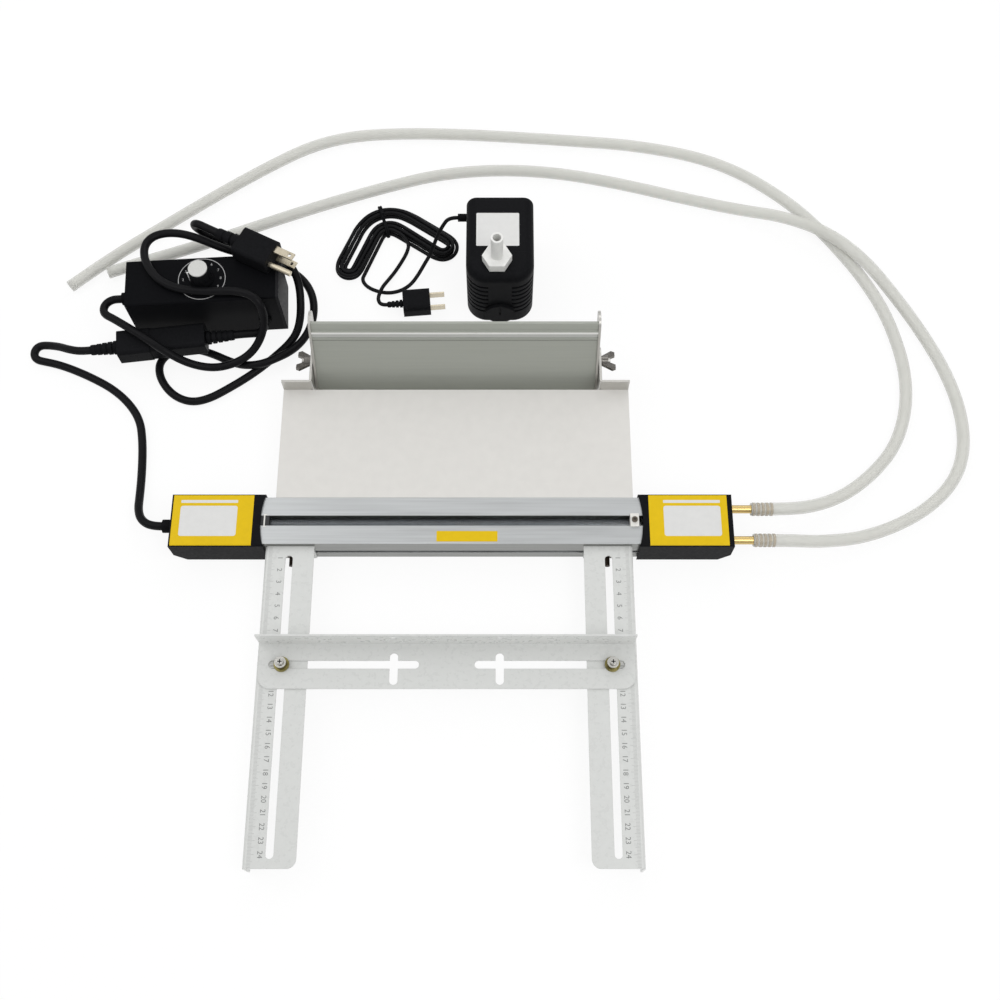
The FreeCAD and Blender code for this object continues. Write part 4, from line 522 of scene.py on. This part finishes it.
# Hoses: from the two pipes, round the rear of the set, to their open ends.
rear = [
    (244, PIPE_ASIDE, PIPE_LEVEL), (270, PIPE_ASIDE, PIPE_LEVEL),
    (298, 18.5, 15), (326, 31, 8), (352, 51, 5.4), (374, 76, 5.3),
    (387, 108, 5.4), (391.5, 140, 5.3), (389, 172, 5.4), (380, 210, 5.3), (363.5, 245.5, 5.4),
    (348, 270, 5.3), (333, 291.5, 5.4), (313, 316, 5.3), (285, 341, 5.4), (254, 362, 5.3),
    (215.5, 377.5, 5.4), (162, 388.5, 5.3), (110, 393, 5.4), (54, 397.5, 5.3), (-2, 401, 5.4),
    (-54.5, 402, 5.3), (-102, 398.5, 5.4), (-140, 386.5, 5.3), (-175, 365, 5.4), (-211, 340.5, 5.3),
    (-245.5, 315, 5.4), (-280, 289, 5.3), (-314, 263, 5.4), (-346, 234.2, 5.3)
]
front = [
    (244, -PIPE_ASIDE, PIPE_LEVEL), (270, -PIPE_ASIDE, PIPE_LEVEL),
    (301, -12.4, 15), (336, -6.5, 7.5), (370, 6, 5.4),
    (400, 24, 5.3), (422.5, 48, 5.4), (433.5, 77, 5.3), (434.5, 112, 5.4), (426.5, 149, 5.3),
    (411, 187, 5.4), (391.5, 222, 7.5), (365, 256.5, 15.5), (334.5, 283, 18.2), (298, 303, 13.6),
    (258, 315.5, 6), (205, 329.5, 5.3), (148, 345.5, 5.4), (90, 357.5, 5.3), (36, 360.5, 5.4),
    (-17, 355.5, 5.3), (-65, 341.5, 5.4), (-115, 324.5, 5.3), (-162, 306.5, 5.4), (-205, 289, 5.3),
    (-243, 274, 5.4), (-281, 261, 5.3), (-313.8, 248.5, 5.4)
]


def corded(name, route, dia, stand_for, slot="cord_black"):
    """Cord along a route that stands for the solids of the same cord; its length is in metres."""
    item = line(name, route, dia, LOOKS[slot])
    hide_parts(*stand_for)
    return item


corded("mains_lead", mains, CORD, stand_for=["mains_cord"])
corded("output_lead", output, CORD, stand_for=["output_cord"])
corded("heater_lead", heater, CORD, stand_for=["heater_cord"])
corded("pump_line", pump, THIN,
       stand_for=["pump_cord", "pump_hank", "pump_lead"])
for name, route, length in (("rear_hose", rear, 1.143), ("front_hose", front, 1.135)):
    item = corded(name, route, HOSE, stand_for=["hose_" + name.split("_")[0]],
                  slot="silicone_hose")
    item.data.use_fill_caps = False
    wall = item.modifiers.new("wall", "SOLIDIFY")
    wall.thickness, wall.offset, wall.use_rim = HOSE_WALL * MM, -1, True

# Heating wire: three curled stretches joined by straight ones.
CURL, CURL_PITCH, CURL_TURNS, CURL_STEPS, CURL_LEAD = 2.3, 1.8, 11, 12, 3
TUBE_LEVEL, WIRE_END, WIRE_MIDDLE, WIRE_DIA = 22, 152, 2.0, 0.7
wire, x = [(-WIRE_END, CURL, TUBE_LEVEL)], -WIRE_END
for begin in (-137, 2.6, 121):
    wire += [(x + (begin - x) * 0.5, WIRE_MIDDLE, TUBE_LEVEL), (begin - CURL_LEAD, CURL, TUBE_LEVEL)]
    for k in range(CURL_STEPS * CURL_TURNS + 1):
        turn, x = 2 * math.pi * k / CURL_STEPS, begin + CURL_PITCH * k / CURL_STEPS
        wire.append((x, CURL * math.cos(turn), TUBE_LEVEL + CURL * math.sin(turn)))
    wire.append((x + CURL_LEAD, CURL, TUBE_LEVEL))
    x += 2 * CURL_LEAD
wire.append((WIRE_END, CURL, TUBE_LEVEL))
coil = line("heating_wire", wire, WIRE_DIA, LOOKS["heating_wire"], rounding=2)
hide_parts("heating_coil")

# Bare labels: yellow with a plain white panel and stripe on the caps, yellow on the bar, white on the pump.
CAP_TOP, CAP_EDGE, CAP_ROUND, BAR_TOP, PUMP_TOP = 33.0, 20.5, 2.0, 31, 70
LABEL_FOOT, LABEL_TOP, PANEL_THICK, STICKER_THICK = 0.02, 0.12, 0.06, 0.1
FRONT_WRAP, REAR_WRAP = (1.4, 1.1, 0.7, 0.3), (0.3, 0.7)


def cap_label(name, near, far):
    """Label over a cap's top that follows the rounding at its front and rear."""
    spots = [-CAP_EDGE - wrap for wrap in FRONT_WRAP] + [-CAP_EDGE, CAP_EDGE]
    spots += [CAP_EDGE + wrap for wrap in REAR_WRAP]
    verts = []
    for lift in (LABEL_FOOT, LABEL_TOP):
        for y in spots:
            past = max(abs(y) - CAP_EDGE, 0)
            z = CAP_TOP - CAP_ROUND + math.sqrt(CAP_ROUND ** 2 - past ** 2) + lift
            verts += [(near, y, z), (far, y, z)]
    n = len(spots)
    faces = []
    for k in range(n - 1):
        low = [2 * k, 2 * k + 1, 2 * k + 3, 2 * k + 2]
        faces += [low[::-1], [v + 2 * n for v in low]]
        faces += [[2 * k, 2 * n + 2 * k, 2 * n + 2 * k + 2, 2 * k + 2],
                  [2 * k + 1, 2 * k + 3, 2 * n + 2 * k + 3, 2 * n + 2 * k + 1]]
    faces += [[0, 1, 2 * n + 1, 2 * n], [2 * n - 2, 4 * n - 2, 4 * n - 1, 2 * n - 1]]
    place(name, verts, faces, LABEL_YELLOW, "machine")


cap_label("cap_label_right", 159.2, 222.6)
cap_label("cap_label_left", -225.2, -160.2)
level = CAP_TOP + LABEL_TOP
for side, span in (("right", (171, 217)), ("left", (-219, -173))):
    plate(f"cap_panel_{side}", span, (-14, 12), level, radius=2, look=LABEL_WHITE, thick=PANEL_THICK)
    plate(f"cap_stripe_{side}", span, (14.5, 17), level, radius=0.6, look=LABEL_WHITE, thick=PANEL_THICK)
plate("bar_sticker", (-12, 37), (-18, -9), BAR_TOP, radius=0.6, look=LABEL_YELLOW, thick=STICKER_THICK)
plate("pump_label", (18.8, 55.4), (234.5, 267.5), PUMP_TOP, radius=1, look=LABEL_WHITE, thick=STICKER_THICK)

# Rulers on the arms: millimetres from the rear end, numbered in centimetres.
RULER_REAR, RULER_TOP, RULER_LENGTH = -20.1, 26.0, 250
TICK_LONG, TICK_MIDDLE, TICK_SHORT, TICK_HALF, TICK_RISE = 5.2, 4.2, 3.0, 0.11, 0.03
NUMBER_ASIDE, NUMBER_SIZE, CENTIMETRE = 9.4, 5.6, 10
for body, edge, inward in (("left_arm", -146.6, 1), ("right_arm", 142.6, -1)):
    ticks = []
    for k in range(1, RULER_LENGTH):
        reach = TICK_LONG if k % CENTIMETRE == 0 else TICK_MIDDLE if k % 5 == 0 else TICK_SHORT
        span, y = sorted((edge, edge + inward * reach)), RULER_REAR - k
        ticks.append((*span, y - TICK_HALF, y + TICK_HALF, RULER_TOP, RULER_TOP + TICK_RISE))
    blocks(f"{body}_ticks", ticks, TICK_GREY, body)
    column = edge + inward * NUMBER_ASIDE
    numbers = [(str(n), column, RULER_REAR - CENTIMETRE * n, RULER_TOP, NUMBER_SIZE, -90)
               for n in range(1, RULER_LENGTH // CENTIMETRE)]
    figures(f"{body}_numbers", numbers, RULER_GREY, body)

# Controller dial: a thin printed ring with plain numbers, and a white pointer line on the knob.
RING_STEPS, RING_INNER, RING_OUTER, BOX_TOP, PRINT_RISE = 72, 19.6, 20.2, 55.0, 0.04
MARKS, MARK_RADIUS, MARK_SIZE, MARK_START, MARK_STEP, POINTER_TURN = 11, 16, 3.4, 240, 30, 200
angles = [2 * math.pi * k / RING_STEPS for k in range(RING_STEPS)]
ring = [(radius * math.cos(a), radius * math.sin(a), z) for z in (BOX_TOP, BOX_TOP + PRINT_RISE)
        for radius in (RING_INNER, RING_OUTER) for a in angles]
quads = []
for k in range(RING_STEPS):
    m = (k + 1) % RING_STEPS
    quads += [(2 * RING_STEPS + k, 3 * RING_STEPS + k, 3 * RING_STEPS + m, 2 * RING_STEPS + m),
              (k, m, RING_STEPS + m, RING_STEPS + k),
              (RING_STEPS + k, RING_STEPS + m, 3 * RING_STEPS + m, 3 * RING_STEPS + k),
              (m, k, 2 * RING_STEPS + k, 2 * RING_STEPS + m)]
place("dial_ring", ring, quads, PRINT_WHITE, "machine", turn=BOX)
scale_marks = []
for n in range(MARKS):
    spot = facing(math.radians(MARK_START - MARK_STEP * n)) * MARK_RADIUS
    scale_marks.append((str(n), spot.x, spot.y, BOX_TOP, MARK_SIZE, 0))
figures("dial_numbers", scale_marks, PRINT_WHITE, "machine", turn=BOX)
POINTER = BOX @ Matrix.Rotation(math.radians(POINTER_TURN), 4, "Z")
blocks("knob_pointer", [(8.1, 9.3, -0.5, 0.5, 70.55, 70.75), (9.0, 9.9, -0.5, 0.5, 58.6, 70.7)],
       POINTER_WHITE, "heat_dial", turn=POINTER)

# Cross recesses in the tube clamp's screw and the bracket screws, painted near black as shade.
RECESS_RISE, CLAMP_X, CLAMP_TOP, BRACKET_HEADS = 0.04, 147.5, 34.8, 122.4


def cross(reach, half):
    """The two bars of a cross, each as (u0, u1, v0, v1)."""
    return (-reach, reach, -half, half), (-half, half, -reach, reach)


clamp_cross = [(CLAMP_X + x0, CLAMP_X + x1, y0, y1, CLAMP_TOP, CLAMP_TOP + RECESS_RISE)
               for x0, x1, y0, y1 in cross(reach=1.5, half=0.35)]
blocks("clamp_screw_cross", clamp_cross, RECESS_SHADE, "machine")
bracket_crosses = [(x + x0, x + x1, BRACKET_HEADS, BRACKET_HEADS + RECESS_RISE, z + z0, z + z1)
                   for x, z in ((-136, 12), (-128, 24), (140, 12), (132, 24))
                   for x0, x1, z0, z1 in cross(reach=1.9, half=0.4)]
blocks("bracket_screw_crosses", bracket_crosses, RECESS_SHADE, "machine")

# Tilting plate: a painted highlight along the crest of its upper rib, a band of painted light below it and a
# line of painted shade below that.
PIVOT, REST_TILT, RIB_HALF = (2, 142, 37), -23, 117.4
TILT = Matrix.Translation(metres(PIVOT)) @ Matrix.Rotation(math.radians(REST_TILT), 4, "X")
for name, depth, low, high, look in (("tilt_rib_light", (-11.06, -11), 36.6, 38.4, RIB_HIGHLIGHT),
                                     ("tilt_band", (-9.05, -9), 32.1, 35.9, BAND_PAINTED_LIGHT),
                                     ("tilt_line", (-9.05, -9), 28.9, 29.4, RECESS_SHADE)):
    blocks(name, [(-RIB_HALF, RIB_HALF, *depth, low, high)], look, "tilt_rest", turn=TILT)

# White edge of the tube's left seat.
blocks("seat_edge", [(-151.6, -150.5, -5.6, 5.6, BAR_TOP, 31.2), (-150.6, -149.2, 4.6, 5.5, BAR_TOP, 31.18),
                     (-150.6, -149.2, -5.5, -4.6, BAR_TOP, 31.18)], LOOKS["ceramic"], "machine")

# Wire tie round the hank's bend, with points given as across, height and along.
knot, way = spine(LEFT + BEND * TURN / 2)
across = facing(way + QUARTER)
TIE_DIA, TIE_HALF = 1.9, 0.9
drop = [(10.5, 8.5), (13.2, 6.3), (15.2, 3.2), (15.2, 1.1)]
outer = [(u, z, TIE_HALF) for u, z in drop] + [(u, z, -TIE_HALF) for u, z in drop[::-1]]
inner = [(-u - 2, z, s) for u, z, s in outer]
tie = [(2, 12.5, TIE_HALF), (0.5, 9.2, TIE_HALF), *outer, (0, 9.4, 0), *inner]
tie += [(-0.5, 9.2, -TIE_HALF), (-2, 12.5, -TIE_HALF)]
line("hank_tie", [tuple(knot + across * u + facing(way) * s + Vector((0, 0, z))) for u, z, s in tie], TIE_DIA,
     LOOKS["black_plastic"])

# Ridges on the hose ends, pressed out by the pipes' barbs. RIDGE is one ridge's outline as along and radius.
RIDGE = [(0, 5.27), (0, 5.42), (0.5, 5.6), (1.7, 5.6), (2.2, 5.42), (2.2, 5.27)]
RIDGES, RIDGE_START, RIDGE_PITCH, AROUND = 5, 245, 3.6, 24
for side, y in (("rear", PIPE_ASIDE), ("front", -PIPE_ASIDE)):
    verts, faces = [], []
    for ridge in range(RIDGES):
        start = RIDGE_START + RIDGE_PITCH * ridge
        for k, (x, r) in enumerate(RIDGE):
            base = len(verts)
            over = base + AROUND if k < len(RIDGE) - 1 else base - k * AROUND
            for m in range(AROUND):
                turn, n = 2 * math.pi * m / AROUND, (m + 1) % AROUND
                verts.append((start + x, y + r * math.cos(turn), PIPE_LEVEL + r * math.sin(turn)))
                faces.append((base + m, base + n, over + n, over + m))
    place(f"{side}_ridges", verts, faces, RIDGE_TAN, "machine").data.shade_smooth()

# Threads on the ends of the fence bolts and tee bolts, and cross recesses in the fence bolts painted near
# black as shade.
THREAD_WIRE, THREAD_STEPS, FENCE_LINE, BOLT_TOP, TEE_LEVEL = 0.5, 12, -118, 37.6, 12.5


def thread(name, centre, radius, start, end, axis, pitch, look, body):
    """Helix round a bolt along Y or Z, from start to end."""
    steps = round(abs(end - start) / pitch * THREAD_STEPS)
    points = []
    for k in range(steps + 1):
        way, reach = 2 * math.pi * k / THREAD_STEPS, start + (end - start) * k / steps
        u, v = centre[0] + radius * math.cos(way), centre[1] + radius * math.sin(way)
        points.append((u, reach, v) if axis == "Y" else (u, v, reach))
    line(name, points, THREAD_WIRE, look, body, rounding=2)


for side, x in (("left", -130), ("right", 126)):
    shaded_recess = [(x + x0, x + x1, FENCE_LINE + y0, FENCE_LINE + y1, BOLT_TOP, BOLT_TOP + RECESS_RISE)
              for x0, x1, y0, y1 in cross(reach=1.7, half=0.4)]
    blocks(f"fence_screw_cross_{side}", shaded_recess, RECESS_SHADE, f"{side}_clamp")
    thread(f"fence_thread_{side}", (x, FENCE_LINE), radius=2.42, start=35.2, end=37.3, axis="Z", pitch=0.8,
           look=LOOKS["bright_metal"], body=f"{side}_clamp")
    thread(f"arm_thread_{side}", (x, TEE_LEVEL), radius=1.92, start=-25, end=-32.4, axis="Y", pitch=0.7,
           look=LOOKS["bronze_bolt"], body=f"{side}_arm")
